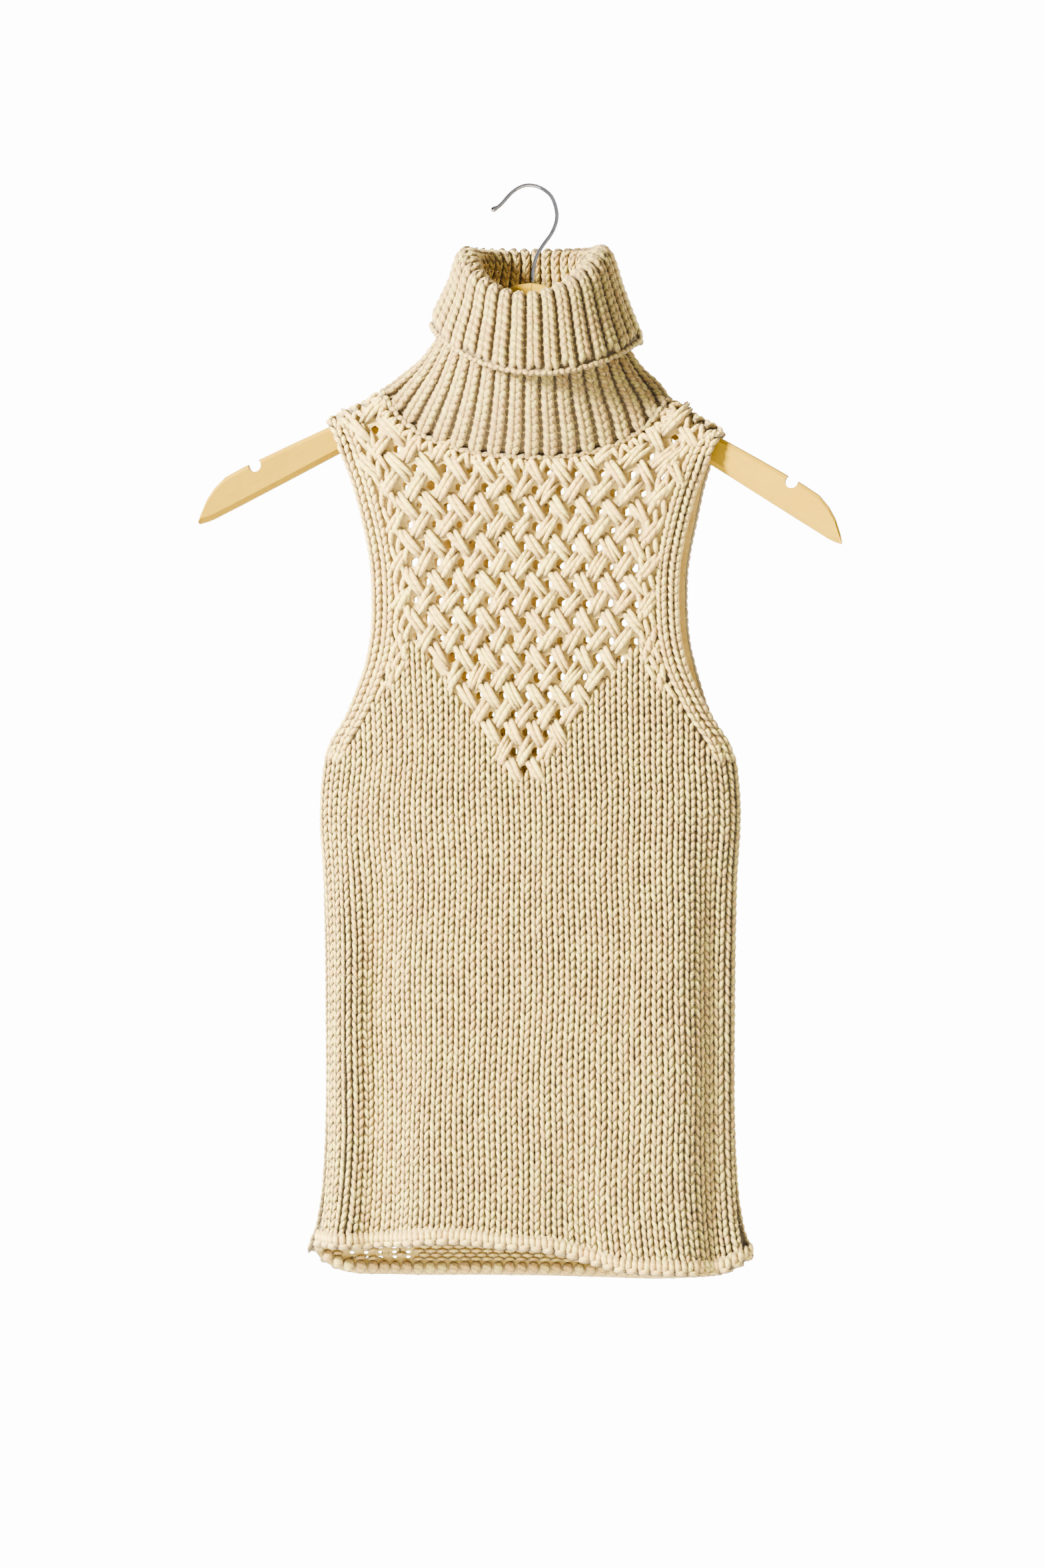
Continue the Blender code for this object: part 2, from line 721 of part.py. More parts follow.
def neck_stretch(name, rings, normals, first, last):
    """One stretch of the neck tube between two of its rings, with ribs where they show."""
    verts, faces = [], []
    count = len(rings[0])

    def ring_of(row, skin):
        """Indices round one ring of one skin; ribbed rings have more points than plain ones."""
        ribbed = row in (NECK_RIB_ROWS if skin > 0 else FOLD_RIB_ROWS)
        step = 1 if ribbed else RIB_STEPS
        found = []
        for k in range(0, count, step):
            point = rings[row][k]
            if row == first:
                point = point + (rings[row + 1][k] - point).normalized() * SEAM_GAP
            if ribbed:
                rise = RIB_VALLEY if k % RIB_STEPS == 0 else RIB_TOP
            else:
                rise = OUTER if skin > 0 else INNER
            found.append(len(verts))
            verts.append(point + normals[row][k] * rise * skin)
        return found

    def bridge(low, high):
        """Joins two rings that may differ in their number of points."""
        if len(low) == len(high):
            for i in range(len(low)):
                k = (i + 1) % len(low)
                faces.append([low[i], low[k], high[k], high[i]])
            return
        few, many, turned = (low, high, False) if len(low) < len(high) else (high, low, True)
        ratio = len(many) // len(few)
        for i in range(len(few)):
            k = (i + 1) % len(few)
            fan = [many[(i * ratio + n) % len(many)] for n in range(ratio + 1)]
            half = (ratio + 1) // 2
            for n in range(ratio):
                root = few[i] if n < half else few[k]
                face = [root, fan[n + 1], fan[n]]
                faces.append(face[::-1] if turned else face)
            middle = [few[i], few[k], fan[half]]
            faces.append(middle[::-1] if turned else middle)

    skins = []
    for skin in (1.0, -1.0):
        loops = [ring_of(row, skin) for row in range(first, last + 1)]
        for low, high in zip(loops, loops[1:]):
            bridge(low, high)
        skins.append(loops)
    over, under = skins[0][0], skins[1][0]
    if len(over) == len(under):
        for i in range(len(over)):
            k = (i + 1) % len(over)
            faces += rim(over[i], over[k], under[i], under[k], verts)
    else:
        bridge(over, under)
    bridge(skins[0][-1], skins[1][-1])
    return mesh_object(name, verts, faces, RIB_YARN)


def lean(x, y, z):
    """Turns a point of the hanger about its middle, as it hangs."""
    dx, dz = x, z - TILT_PIVOT_Z
    c, s = math.cos(TILT), math.sin(TILT)
    return Vector((TILT_PIVOT_X + dx * c + dz * s, y, TILT_PIVOT_Z - dx * s + dz * c))


def hanger_half(name, side):
    """One glued half of the wooden hanger: a bent arm with rounded edges and a strap notch."""
    verts, faces = [], []
    for x, top, bottom in WOOD:
        reach = WOOD_THICK / 2.0
        soft = min(WOOD_ROUND, (top - bottom) * WOOD_ROUND_SHARE)
        chamfer = WOOD_CHAMFER * soft
        bend = -x * x / (2.0 * CONTOUR_RADIUS)
        section = (
            (-reach, top - soft),
            (-reach + chamfer, top - chamfer),
            (-reach + soft, top),
            (reach - soft, top),
            (reach - chamfer, top - chamfer),
            (reach, top - soft),
            (reach, bottom + soft),
            (reach - soft, bottom),
            (-reach + soft, bottom),
            (-reach, bottom + soft),
        )
        for y, z in section:
            verts.append(lean(side * x, bend + y, z))
    size = len(section)
    for s in range(len(WOOD) - 1):
        for i in range(size):
            k = (i + 1) % size
            a, b = s * size, (s + 1) * size
            faces.append([a + i, a + k, b + k, b + i])
    faces.append(list(range(size)))
    faces.append([(len(WOOD) - 1) * size + i for i in range(size)])
    half = mesh_object(name, verts, faces, WOOD_FINISH)
    bulb = notch_cutter(name + "_notch", side)
    cut = half.modifiers.new("strap_notch", "BOOLEAN")
    cut.operation = "DIFFERENCE"
    cut.object = bulb
    return half


def notch_cutter(name, side):
    """A keyhole outline across the arm: a round pocket with a narrower mouth."""
    outline_points = []
    for i in range(NOTCH_STEPS + 1):
        turn = NOTCH_OPEN_DEGREES * (i / NOTCH_STEPS - 0.5)
        angle = math.radians(turn) - math.pi / 2.0
        outline_points.append((NOTCH_BULB * math.cos(angle), NOTCH_BULB * math.sin(angle) - NOTCH_DEPTH))
    outline_points.append((NOTCH_WIDTH / 2.0, NOTCH_ABOVE))
    outline_points.append((-NOTCH_WIDTH / 2.0, NOTCH_ABOVE))
    slope = math.atan(SHOULDER_SLOPE)
    verts, faces = [], []
    bend = -NOTCH_X ** 2 / (2.0 * CONTOUR_RADIUS)
    for y in (-NOTCH_HALF_CUT, NOTCH_HALF_CUT):
        for u, v in outline_points:
            x = NOTCH_X + u * math.cos(slope) + v * math.sin(slope)
            z = NOTCH_TOP_Z - u * math.sin(slope) + v * math.cos(slope)
            verts.append(lean(side * x, bend + y, z))
    size = len(outline_points)
    faces.append(list(range(size)))
    faces.append([size + i for i in range(size)])
    for i in range(size):
        k = (i + 1) % size
        faces.append([i, k, size + k, size + i])
    cutter = mesh_object(name, verts, faces, WOOD_FINISH)
    cutter.hide_render = True
    cutter.display_type = "WIRE"
    return cutter


def smooth_line(points, steps):
    """Points on one smooth curve through the given ones."""
    fine = []
    for i in range(len(points) - 1):
        p0, p1 = points[max(i - 1, 0)], points[i]
        p2, p3 = points[i + 1], points[min(i + 2, len(points) - 1)]
        for n in range(steps):
            t = n / steps
            fine.append(0.5 * (2.0 * p1 + (p2 - p0) * t + (2.0 * p0 - 5.0 * p1 + 4.0 * p2 - p3) * t ** 2
                               + (3.0 * p1 - p0 - 3.0 * p2 + p3) * t ** 3))
    fine.append(points[-1])
    return fine


def hook():
    """The chrome wire hook, with a ball at its tip and its foot on the wood."""
    line = smooth_line([np.array((x, 0.0, z)) for x, z in HOOK_LINE], HOOK_STEPS)
    sizes = [HOOK_WIRE] * len(line)
    start, way = line[0], line[0] - line[1]
    way = way / np.linalg.norm(way)
    ball = []
    for angle in HOOK_BALL_DEGREES:
        turn = math.radians(angle)
        ball.append((start + way * HOOK_BALL * math.sin(turn), HOOK_BALL * math.cos(turn)))
    line = [place_on for place_on, _ in ball] + line[2:]
    sizes = [size for _, size in ball] + sizes[2:]
    verts, faces = [], []
    for i, (centre, size) in enumerate(zip(line, sizes)):
        ahead = line[min(i + 1, len(line) - 1)] - line[max(i - 1, 0)]
        ahead = ahead / np.linalg.norm(ahead)
        side = np.array((-ahead[2], 0.0, ahead[0]))
        for n in range(HOOK_SIDES):
            angle = 2.0 * math.pi * n / HOOK_SIDES
            verts.append(Vector(centre + side * size * math.cos(angle)
                                + np.array((0.0, 1.0, 0.0)) * size * math.sin(angle)))
    for s in range(len(line) - 1):
        for i in range(HOOK_SIDES):
            k = (i + 1) % HOOK_SIDES
            a, b = s * HOOK_SIDES, (s + 1) * HOOK_SIDES
            faces.append([a + i, a + k, b + k, b + i])
    faces.append(list(range(HOOK_SIDES)))
    faces.append([(len(line) - 1) * HOOK_SIDES + i for i in range(HOOK_SIDES)])
    return mesh_object("hanger_hook", verts, faces, CHROME)


def main():
    for old in list(bpy.data.objects):
        bpy.data.objects.remove(old)
    count = RIBS * RIB_STEPS
    rings, normals = collar_grid(count)
    front_seam, back_seam = neck_seams(rings, normals, count)
    for seam, back in ((front_seam, False), (back_seam, True)):
        seam[0] = corner(seam[0], back)
        seam[-1] = corner(seam[-1], back)
    panel("front_panel", False, front_seam)
    panel("back_panel", True, back_seam)
    neck_stretch("turtleneck_stand", rings, normals, 0, CREST_ROW)
    neck_stretch("turtleneck_fold", rings, normals, CREST_ROW, len(rings) - 1)
    hanger_half("hanger_left", -1.0)
    hanger_half("hanger_right", 1.0)
    hook()


main()
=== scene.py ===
# %% [markdown]
# # A chunky sleeveless turtleneck on a wooden hanger
#
# The garment is plain knit below, a woven-looking lattice across the yoke, and a deep rib for the
# turned-down neck. Knit is made of yarn, so this lesson builds it of yarn: every half stitch is a small
# closed grain that Geometry Nodes lay on the cloth, and a thin cloth underneath closes the ground
# between them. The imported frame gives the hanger, and the same formulas as the solids give the form.

# %% Load the frame
import math

import bpy
import numpy as np
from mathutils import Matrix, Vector
from mathutils.geometry import delaunay_2d_cdt


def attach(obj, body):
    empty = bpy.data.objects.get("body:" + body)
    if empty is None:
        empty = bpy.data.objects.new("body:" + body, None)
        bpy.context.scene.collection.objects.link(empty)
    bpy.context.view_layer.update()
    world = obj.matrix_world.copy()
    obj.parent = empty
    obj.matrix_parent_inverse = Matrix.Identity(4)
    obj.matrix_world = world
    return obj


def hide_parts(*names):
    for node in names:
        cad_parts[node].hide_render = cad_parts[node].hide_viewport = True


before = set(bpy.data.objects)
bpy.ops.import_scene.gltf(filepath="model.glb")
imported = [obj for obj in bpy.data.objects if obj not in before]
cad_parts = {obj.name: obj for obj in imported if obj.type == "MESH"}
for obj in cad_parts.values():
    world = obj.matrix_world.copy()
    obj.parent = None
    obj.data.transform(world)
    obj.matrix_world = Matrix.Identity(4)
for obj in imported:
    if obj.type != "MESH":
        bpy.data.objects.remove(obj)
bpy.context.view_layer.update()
MM = 0.001


# %% [markdown]
# ## The camera
#
# The picture was taken level, from a little to the right, with a long lens. A long lens far away keeps
# the hanger's two arms nearly equal, which a close wide lens wouldn't.

# %% Camera
CAMERA_DISTANCE = 3.2
CAMERA_AZIMUTH = math.radians(7.0)
CAMERA_TARGET = Vector((-4.63, -0.57, -417.6)) * MM
PICTURE_ROWS = 2352
ROW_HEIGHT = 0.4663
PICTURE_HEIGHT = PICTURE_ROWS * ROW_HEIGHT * MM
SENSOR = 36.0

lens_data = bpy.data.cameras.new("photo_camera")
lens_data.sensor_fit = "VERTICAL"
lens_data.sensor_height = SENSOR
lens_data.lens = SENSOR * CAMERA_DISTANCE / PICTURE_HEIGHT
lens_data.clip_end = 50.0
camera = bpy.data.objects.new("photo_camera", lens_data)
away = Vector((math.sin(CAMERA_AZIMUTH), -math.cos(CAMERA_AZIMUTH), 0.0))
camera.location = CAMERA_TARGET + away * CAMERA_DISTANCE
camera.rotation_euler = (math.pi / 2.0, 0.0, CAMERA_AZIMUTH)
bpy.context.scene.collection.objects.link(camera)
bpy.context.scene.camera = camera
print("lens", round(lens_data.lens, 1), "mm")

# %% [markdown]
# ## Light and ground
#
# A white room gives even light. A paper backdrop in a studio is lit far more than the goods in front of
# it, so it comes out pure white: Light Path gives the room a brighter value where the camera looks
# straight at it. What shines sees black cards at both sides, which draw the dark lines along a bright
# wire. The light is warm.

# %% Room
WARM_WHITE = (1.0, 0.9, 0.74)
ROOM_LIGHT = 0.62
BACKDROP_LIGHT = 14.0
CARD_LIGHT = 0.12
SHINE_LIGHT = 1.9
CARD_EDGES = (0.35, 0.75)

world = bpy.data.worlds.new("white_room")
world.use_nodes = True
bpy.context.scene.world = world
room = world.node_tree


def room_light(strength, colour=(1.0, 1.0, 1.0)):
    """One Background node of the room; strength is a number or a socket."""
    node = room.nodes.new("ShaderNodeBackground")
    node.inputs["Color"].default_value = (*colour, 1.0)
    if isinstance(strength, float):
        node.inputs["Strength"].default_value = strength
    else:
        room.links.new(strength, node.inputs["Strength"])
    return node.outputs["Background"]


def room_choice(question, no, yes):
    """Chooses between two lights by one of Light Path's answers."""
    node = room.nodes.new("ShaderNodeMixShader")
    room.links.new(question, node.inputs["Fac"])
    room.links.new(no, node.inputs[1])
    room.links.new(yes, node.inputs[2])
    return node.outputs["Shader"]


direction = room.nodes.new("ShaderNodeSeparateXYZ")
room.links.new(room.nodes.new("ShaderNodeTexCoord").outputs["Generated"], direction.inputs[0])
ahead = room.nodes.new("ShaderNodeMath")
ahead.operation = "ABSOLUTE"
room.links.new(direction.outputs["Y"], ahead.inputs[0])
cards = room.nodes.new("ShaderNodeMapRange")
room.links.new(ahead.outputs[0], cards.inputs["Value"])
cards.inputs["From Min"].default_value = CARD_EDGES[0]
cards.inputs["From Max"].default_value = CARD_EDGES[1]
cards.inputs["To Min"].default_value = CARD_LIGHT
cards.inputs["To Max"].default_value = SHINE_LIGHT
rays = room.nodes.new("ShaderNodeLightPath")
white_room = room_light(ROOM_LIGHT, WARM_WHITE)
lit = room_choice(rays.outputs["Is Glossy Ray"], white_room, room_light(cards.outputs[0]))
seen = room_choice(rays.outputs["Is Camera Ray"], lit, room_light(BACKDROP_LIGHT))
room.links.new(seen, room.nodes["World Output"].inputs["Surface"])
print("room lit at", ROOM_LIGHT)

# %% [markdown]
# ## Lamps and floor
#
# A small soft lamp from the left front gives the knit its relief: in the picture the left of the neck is
# bright and its right is in shade. A wider lamp from behind lights the back and glows in the holes. Both
# are hidden from mirrors, or they would burn white gaps into the thin wire. The pale floor lies well
# below, as it does under something that hangs.

# %% Lamps
LAMP_AIM = Vector((0.0, 0.0, -0.4))
# columns: name, place, size in metres, power in watts
LAMPS = (
    ("key_lamp", (-2.2, -1.6, 0.9), 0.6, 1080.0),
    ("back_lamp", (1.6, 2.4, 0.5), 1.4, 420.0),
)


def lamp(name, place, size, power):
    """A square soft lamp that faces the garment."""
    data = bpy.data.lights.new(name, "AREA")
    data.size = size
    data.energy = power
    data.color = WARM_WHITE
    made = bpy.data.objects.new(name, data)
    made.location = place
    made.rotation_euler = (LAMP_AIM - Vector(place)).to_track_quat("-Z", "Y").to_euler()
    made.visible_glossy = False
    bpy.context.scene.collection.objects.link(made)
    return made


for row in LAMPS:
    print(lamp(*row).name, row[-1], "watts")

# %% Floor
FLOOR_Z = -1.55
FLOOR_RADIUS = 2.6
FLOOR_SIDES = 96
FLOOR_GREY = 0.9
FLOOR_ROUGHNESS = 0.8

bpy.ops.mesh.primitive_circle_add(
    vertices=FLOOR_SIDES, radius=FLOOR_RADIUS, fill_type="NGON", location=(0, 0, FLOOR_Z))
floor = bpy.context.object
floor.name = "pale_floor"
matt = bpy.data.materials.new("pale_floor")
matt.use_nodes = True
matt_shader = matt.node_tree.nodes["Principled BSDF"]
matt_shader.inputs["Base Color"].default_value = (FLOOR_GREY, FLOOR_GREY, FLOOR_GREY, 1.0)
matt_shader.inputs["Roughness"].default_value = FLOOR_ROUGHNESS
floor.data.materials.append(matt)
print("floor at", FLOOR_Z)

# %% [markdown]
# ## The garment's form
#
# A hung sweater is two sheets that meet at the sides and the shoulders. Flat on a table each has an
# outline; hung up, its middle stands out from the seams, it bends with the hanger and leans with it. So
# every place on it is given by a flat x and z, and `place` lifts it into the air. Short tables hold the
# outline and the fullness, in millimetres, and smooth curves run through them.

# %% Tables of the form
TILT = 0.038
SHOULDER_SHIFT = -1.6
CONTOUR_RADIUS = 900.0
HANG_TOP = -215.0
HANG_END = -410.0
HALF_SEAM_GAP = 0.15
NECK_HALF = 98.0
NECK_SIDE_Z = -147.0
NECK_DROP = {"front": 41.0, "back": 7.0}
NECK_SHARE_POWER = 2.6
NECK_CURVE_POWER = 1.0 / 1.4
SHOULDER_TIP = 139.5
SHOULDER_SLOPE = 0.536
SHOULDER_ROUND = 10.0
SHOULDER_FALL = {"front": 0.21, "back": 0.16}
SHOULDER_SOFT = 0.8
NARROW = 107.0
UNDERARM_Z = -389.0
ARMHOLE_EDGE_DEPTH = 10.5
ARMHOLE_DEEPENS = 70.0
BACK_WIDER = 4.0
BACK_WIDER_LOW = (-372.0, -330.0)
BACK_WIDER_HIGH = (-235.0, -175.0)
CROWN_SHARE_POWER = 2.4
CROWN_POWER = 0.6
FACING_STEP = 0.25

# columns: height, half width
SIDE = (
    (-765.0, 155.0),
    (-742.0, 154.0),
    (-728.0, 149.0),
    (-700.0, 144.5),
    (-650.0, 142.0),
    (-575.0, 142.0),
    (-485.0, 143.5),
    (-440.0, 146.0),
    (-405.0, 143.5),
    (-389.0, 138.5),
    (-373.0, 128.5),
    (-356.0, 120.5),
    (-335.0, 112.5),
    (-312.0, 108.0),
    (-285.0, 107.0),
    (-262.0, 108.3),
    (-235.0, 113.5),
    (-208.0, 120.8),
    (-187.0, 129.5),
    (-169.3, 139.5),
)
# columns: place across, height of the hem
HEM = {
    "front": (
        (-154.5, -742.0),
        (-125.0, -743.0),
        (-88.0, -740.5),
        (-55.0, -737.5),
        (-20.0, -740.0),
        (20.0, -743.5),
        (46.0, -750.5),
        (68.0, -756.0),
        (105.0, -758.0),
        (136.0, -757.5),
        (154.3, -748.0),
    ),
    "back": (
        (-154.5, -742.0),
        (-148.0, -753.0),
        (-132.0, -761.5),
        (-95.0, -764.0),
        (-50.0, -764.5),
        (0.0, -764.0),
        (50.0, -764.5),
        (100.0, -764.0),
        (138.0, -759.0),
        (154.3, -748.0),
    ),
}
# columns: height, how far the middle of the front and of the back stand out
FULLNESS = (
    (-765.0, 29.0, 27.0),
    (-650.0, 27.0, 25.0),
    (-540.0, 25.0, 24.0),
    (-440.0, 24.0, 22.0),
    (-380.0, 22.5, 20.0),
    (-290.0, 22.0, 18.0),
    (-215.0, 26.0, 19.0),
    (-150.0, 33.0, 21.0),
)
# columns: top and bottom place across, top and bottom height, half width and rise of a soft fold
FOLDS = {
    "front": (
        (107.0, 110.0, -380.0, -752.0, 15.0, 4.0),
        (129.0, 131.0, -395.0, -752.0, 9.0, -8.0),
        (-100.0, -105.0, -400.0, -735.0, 17.0, -10.0),
        (-127.0, -132.0, -400.0, -748.0, 12.0, 16.0),
        (-72.0, -90.0, -520.0, -740.0, 12.0, -3.0),
        (-62.0, -72.0, -600.0, -742.0, 22.0, 3.0),
        (28.0, 44.0, -640.0, -752.0, 20.0, -3.5),
        (88.0, 92.0, -470.0, -700.0, 22.0, 2.5),
    ),
    "back": (
        (-112.0, -122.0, -420.0, -756.0, 12.0, -3.5),
        (-30.0, -44.0, -560.0, -760.0, 24.0, 3.5),
        (70.0, 84.0, -520.0, -760.0, 22.0, -3.0),
    ),
}
print("outline of", len(SIDE), "heights")

# %% Smooth curves


def along(rows, where, column=1):
    """Reads one column of a table on a smooth curve through its rows."""
    xs = np.array([row[0] for row in rows])
    ys = np.array([row[column] for row in rows])
    slopes = np.empty(len(xs))
    slopes[1:-1] = (ys[2:] - ys[:-2]) / (xs[2:] - xs[:-2])
    slopes[0] = (ys[1] - ys[0]) / (xs[1] - xs[0])
    slopes[-1] = (ys[-1] - ys[-2]) / (xs[-1] - xs[-2])
    where = np.clip(where, xs[0], xs[-1])
    i = np.clip(np.searchsorted(xs, where) - 1, 0, len(xs) - 2)
    span = xs[i + 1] - xs[i]
    t = (where - xs[i]) / span
    value = (2 * t ** 3 - 3 * t ** 2 + 1) * ys[i] + (3 * t ** 2 - 2 * t ** 3) * ys[i + 1]
    return value + span * ((t ** 3 - 2 * t ** 2 + t) * slopes[i] + (t ** 3 - t ** 2) * slopes[i + 1])


def ease(value, low, high):
    """0 below low, 1 above high, and smooth between."""
    t = np.clip((value - low) / (high - low), 0.0, 1.0)
    return t * t * (3.0 - 2.0 * t)


print("body is", round(2.0 * float(along(SIDE, -485.0))), "mm wide")

# %% The flat outline and the hung surface


def shoulder_line(x):
    """Height of the shoulder seam at a place across."""
    return NECK_SIDE_Z - (np.abs(x) - NECK_HALF) * SHOULDER_SLOPE


def neck_line(x, side):
    """Height of the neck seam at a place across."""
    share = np.minimum(np.abs(x) / NECK_HALF, 1.0)
    return NECK_SIDE_Z - NECK_DROP[side] * (1.0 - share ** NECK_SHARE_POWER) ** NECK_CURVE_POWER


def half_width(z, side):
    """Half the panel's flat width at a height."""
    wider = BACK_WIDER * ease(z, *BACK_WIDER_LOW) * (1.0 - ease(z, *BACK_WIDER_HIGH))
    return along(SIDE, z) + (wider if side == "back" else 0.0)


def fold_rise(x, z, side):
    """How far the soft folds lift the cloth; a fold is full from halfway down."""
    total = np.zeros(np.shape(x))
    for top_x, bottom_x, top_z, bottom_z, half, rise in FOLDS[side]:
        down = (top_z - z) / (top_z - bottom_z)
        across = (x - (top_x + (bottom_x - top_x) * down)) / half
        total += rise * ease(down, 0.0, 0.5) * np.exp(-across * across)
    return total


def stand_out(x, z, side):
    """How far the middle of the cloth stands out from the plane that holds the seams."""
    share = np.minimum(np.abs(x) / half_width(z, side), 1.0)
    crown = (1.0 - share ** CROWN_SHARE_POWER) ** CROWN_POWER
    edge = ARMHOLE_EDGE_DEPTH * ease(z, UNDERARM_Z, UNDERARM_Z + ARMHOLE_DEEPENS) ** 0.5
    middle = along(FULLNESS, z, 1 if side == "front" else 2)
    body = edge + (middle - edge) * crown + fold_rise(x, z, side) * crown
    below = np.maximum(shoulder_line(x) - z, 0.0)
    rolled = np.sqrt(SHOULDER_ROUND ** 2 - (SHOULDER_ROUND - np.minimum(below, SHOULDER_ROUND)) ** 2)
    top = rolled + SHOULDER_FALL[side] * np.maximum(below - SHOULDER_ROUND, 0.0)
    low, high = np.minimum(body, top), np.maximum(body, top)
    return np.maximum(low - SHOULDER_SOFT * np.log1p(np.exp((low - high) / SHOULDER_SOFT)), 0.0)


def place(x, z, side):
    """Points of the hung cloth above flat places."""
    x, z = np.asarray(x, float), np.asarray(z, float)
    hung = ease(z, HANG_END, HANG_TOP)
    out = HALF_SEAM_GAP + stand_out(x, z, side)
    y = -x * x / (2.0 * CONTOUR_RADIUS) * hung + (out if side == "back" else -out)
    return np.stack([x + SHOULDER_SHIFT * hung, y, z - TILT * x * hung], axis=-1)


def unit(vectors):
    """The same directions at length 1."""
    return vectors / np.maximum(np.linalg.norm(vectors, axis=-1, keepdims=True), 1e-9)


def facing(x, z, side):
    """The way the cloth faces, out of the garment."""
    across = place(x + FACING_STEP, z, side) - place(x - FACING_STEP, z, side)
    up = place(x, z + FACING_STEP, side) - place(x, z - FACING_STEP, side)
    normal = unit(np.cross(across, up))
    return -normal if side == "back" else normal


print("front middle stands out", round(float(stand_out(0.0, -540.0, "front")), 1), "mm")

# %% [markdown]
# ## One grain of yarn
#
# What the eye sees of a knit stitch is two fat legs that form a V. Each leg is a short piece of yarn that
# dives into the cloth at both ends. It could be a curve with a bevel, but hundreds or thousands of them
# need something lighter, so a leg is a closed grain of a few dozen faces. Two values ride on it for the
# finish: `crest`, which is 0 where it dives and 1 on its back and which the finish uses to paint shade on
# the grain's sides and ends, and a map along and around the yarn.

# %% Grain meshes
STITCH_STORE = []
POINTED = (2.0, 0.7)
BLUNT = (2.8, 0.5)
END_SPACE = 0.62
# how much painted shade the grain's ends take
END_SHADE = 0.35
MAP_LENGTH = 10.0
WRAP_SPAN = 0.6
WRAP_BELOW = 0.4


def grain(name, length, width, depth, rings, sides, dive, shingle=0.0, taper=BLUNT):
    """A closed grain of yarn along +Y, its back towards +Z, its far end lower by shingle; millimetres."""
    shape, swell = taper
    verts, crest, maps, faces = [], [], [], []
    for r in range(rings):
        t = -1.0 + 2.0 * (r + END_SPACE) / (rings - 1 + 2.0 * END_SPACE)
        full = (1.0 - abs(t) ** shape) ** swell
        for s in range(sides):
            angle = 2.0 * math.pi * s / sides
            x = 0.5 * width * full * math.sin(angle)
            lift = 0.5 * depth * full * math.cos(angle)
            verts.append((x, 0.5 * length * t, lift - dive * t * t - shingle * t))
            # crest falls on the grain's sides and at its ends; the finish paints shade where it is low
            crest.append(0.5 + 0.5 * math.cos(angle) * full - END_SHADE * abs(t) ** 3)
            maps.append((s / sides, 0.5 * length * t))
    for end in (-1.0, 1.0):
        verts.append((0.0, 0.5 * length * end, -dive - shingle * end))
        crest.append(0.0)
        maps.append((0.5, 0.5 * length * end))
    for r in range(rings - 1):
        for s in range(sides):
            k = (s + 1) % sides
            a, b = r * sides, (r + 1) * sides
            faces.append((a + s, b + s, b + k, a + k))
    first, last = rings * sides, rings * sides + 1
    for s in range(sides):
        k = (s + 1) % sides
        faces.append((first, s, k))
        faces.append((last, (rings - 1) * sides + k, (rings - 1) * sides + s))
    mesh = bpy.data.meshes.new(name)
    mesh.from_pydata([tuple(c * MM for c in v) for v in verts], [], faces)
    mesh.attributes.new("crest", "FLOAT", "POINT").data.foreach_set("value", np.clip(crest, 0.0, 1.0))
    layer = mesh.uv_layers.new(name="yarn")
    for polygon in mesh.polygons:
        corners = [mesh.loops[i].vertex_index for i in polygon.loop_indices]
        wraps = max(maps[v][0] for v in corners) - min(maps[v][0] for v in corners) > WRAP_SPAN
        for i, v in zip(polygon.loop_indices, corners):
            around, length_on = maps[v]
            if v >= rings * sides:
                around = sum(maps[c][0] for c in corners if c < rings * sides) / 2.0
            turns = around + (1.0 if wraps and around < WRAP_BELOW else 0.0)
            layer.data[i].uv = (turns, length_on / MAP_LENGTH)
    mesh.shade_smooth()
    made = bpy.data.objects.new(name, mesh)
    bpy.context.scene.collection.objects.link(made)
    STITCH_STORE.append(made)
    return made


print("taper of a leg", POINTED, "and of the others", BLUNT)

# %% The four kinds of grain
STRAND_LENGTH = 20.0
BUMP_LENGTH = 6.2
leg = grain("leg_stitch", length=11.6, width=3.55, depth=4.4, rings=4, sides=6, dive=1.1, shingle=1.2,
            taper=POINTED)
strand = grain("lattice_strand", length=STRAND_LENGTH, width=4.4, depth=4.4, rings=7, sides=8, dive=5.2)
bump = grain("purl_bump", length=BUMP_LENGTH, width=3.2, depth=2.9, rings=3, sides=6, dive=1.0)
puff = grain("hem_puff", length=10.0, width=5.0, depth=5.0, rings=4, sides=8, dive=0.8)
for made in STITCH_STORE:
    print(made.name, "has", len(made.data.polygons), "faces")

# %% [markdown]
# ## A field of stitches
#
# Laying thousands of grains by hand isn't possible, and an Array modifier can't follow a curved cloth.
# Geometry Nodes can: the tree takes a cloud of points that say which way the yarn runs (`way`), which
# way is out (`out`) and how large the grain is (`size`), sets one grain on each, and varies them a
# little. Each grain gets a random `tone`, so that the finish can vary the yarn from stitch to stitch.

# %% The tree that lays stitches
STITCH_INPUTS = (
    ("Geometry", "Geometry"),
    ("Stitch", "Object"),
    ("Yarn", "Material"),
    ("Size jitter", "Float"),
    ("Turn jitter", "Float"),
    ("Seed", "Int"),
)
SIZE_DRAW = 1.0
TURN_DRAW = 2.0
TONE_DRAW = 3.0


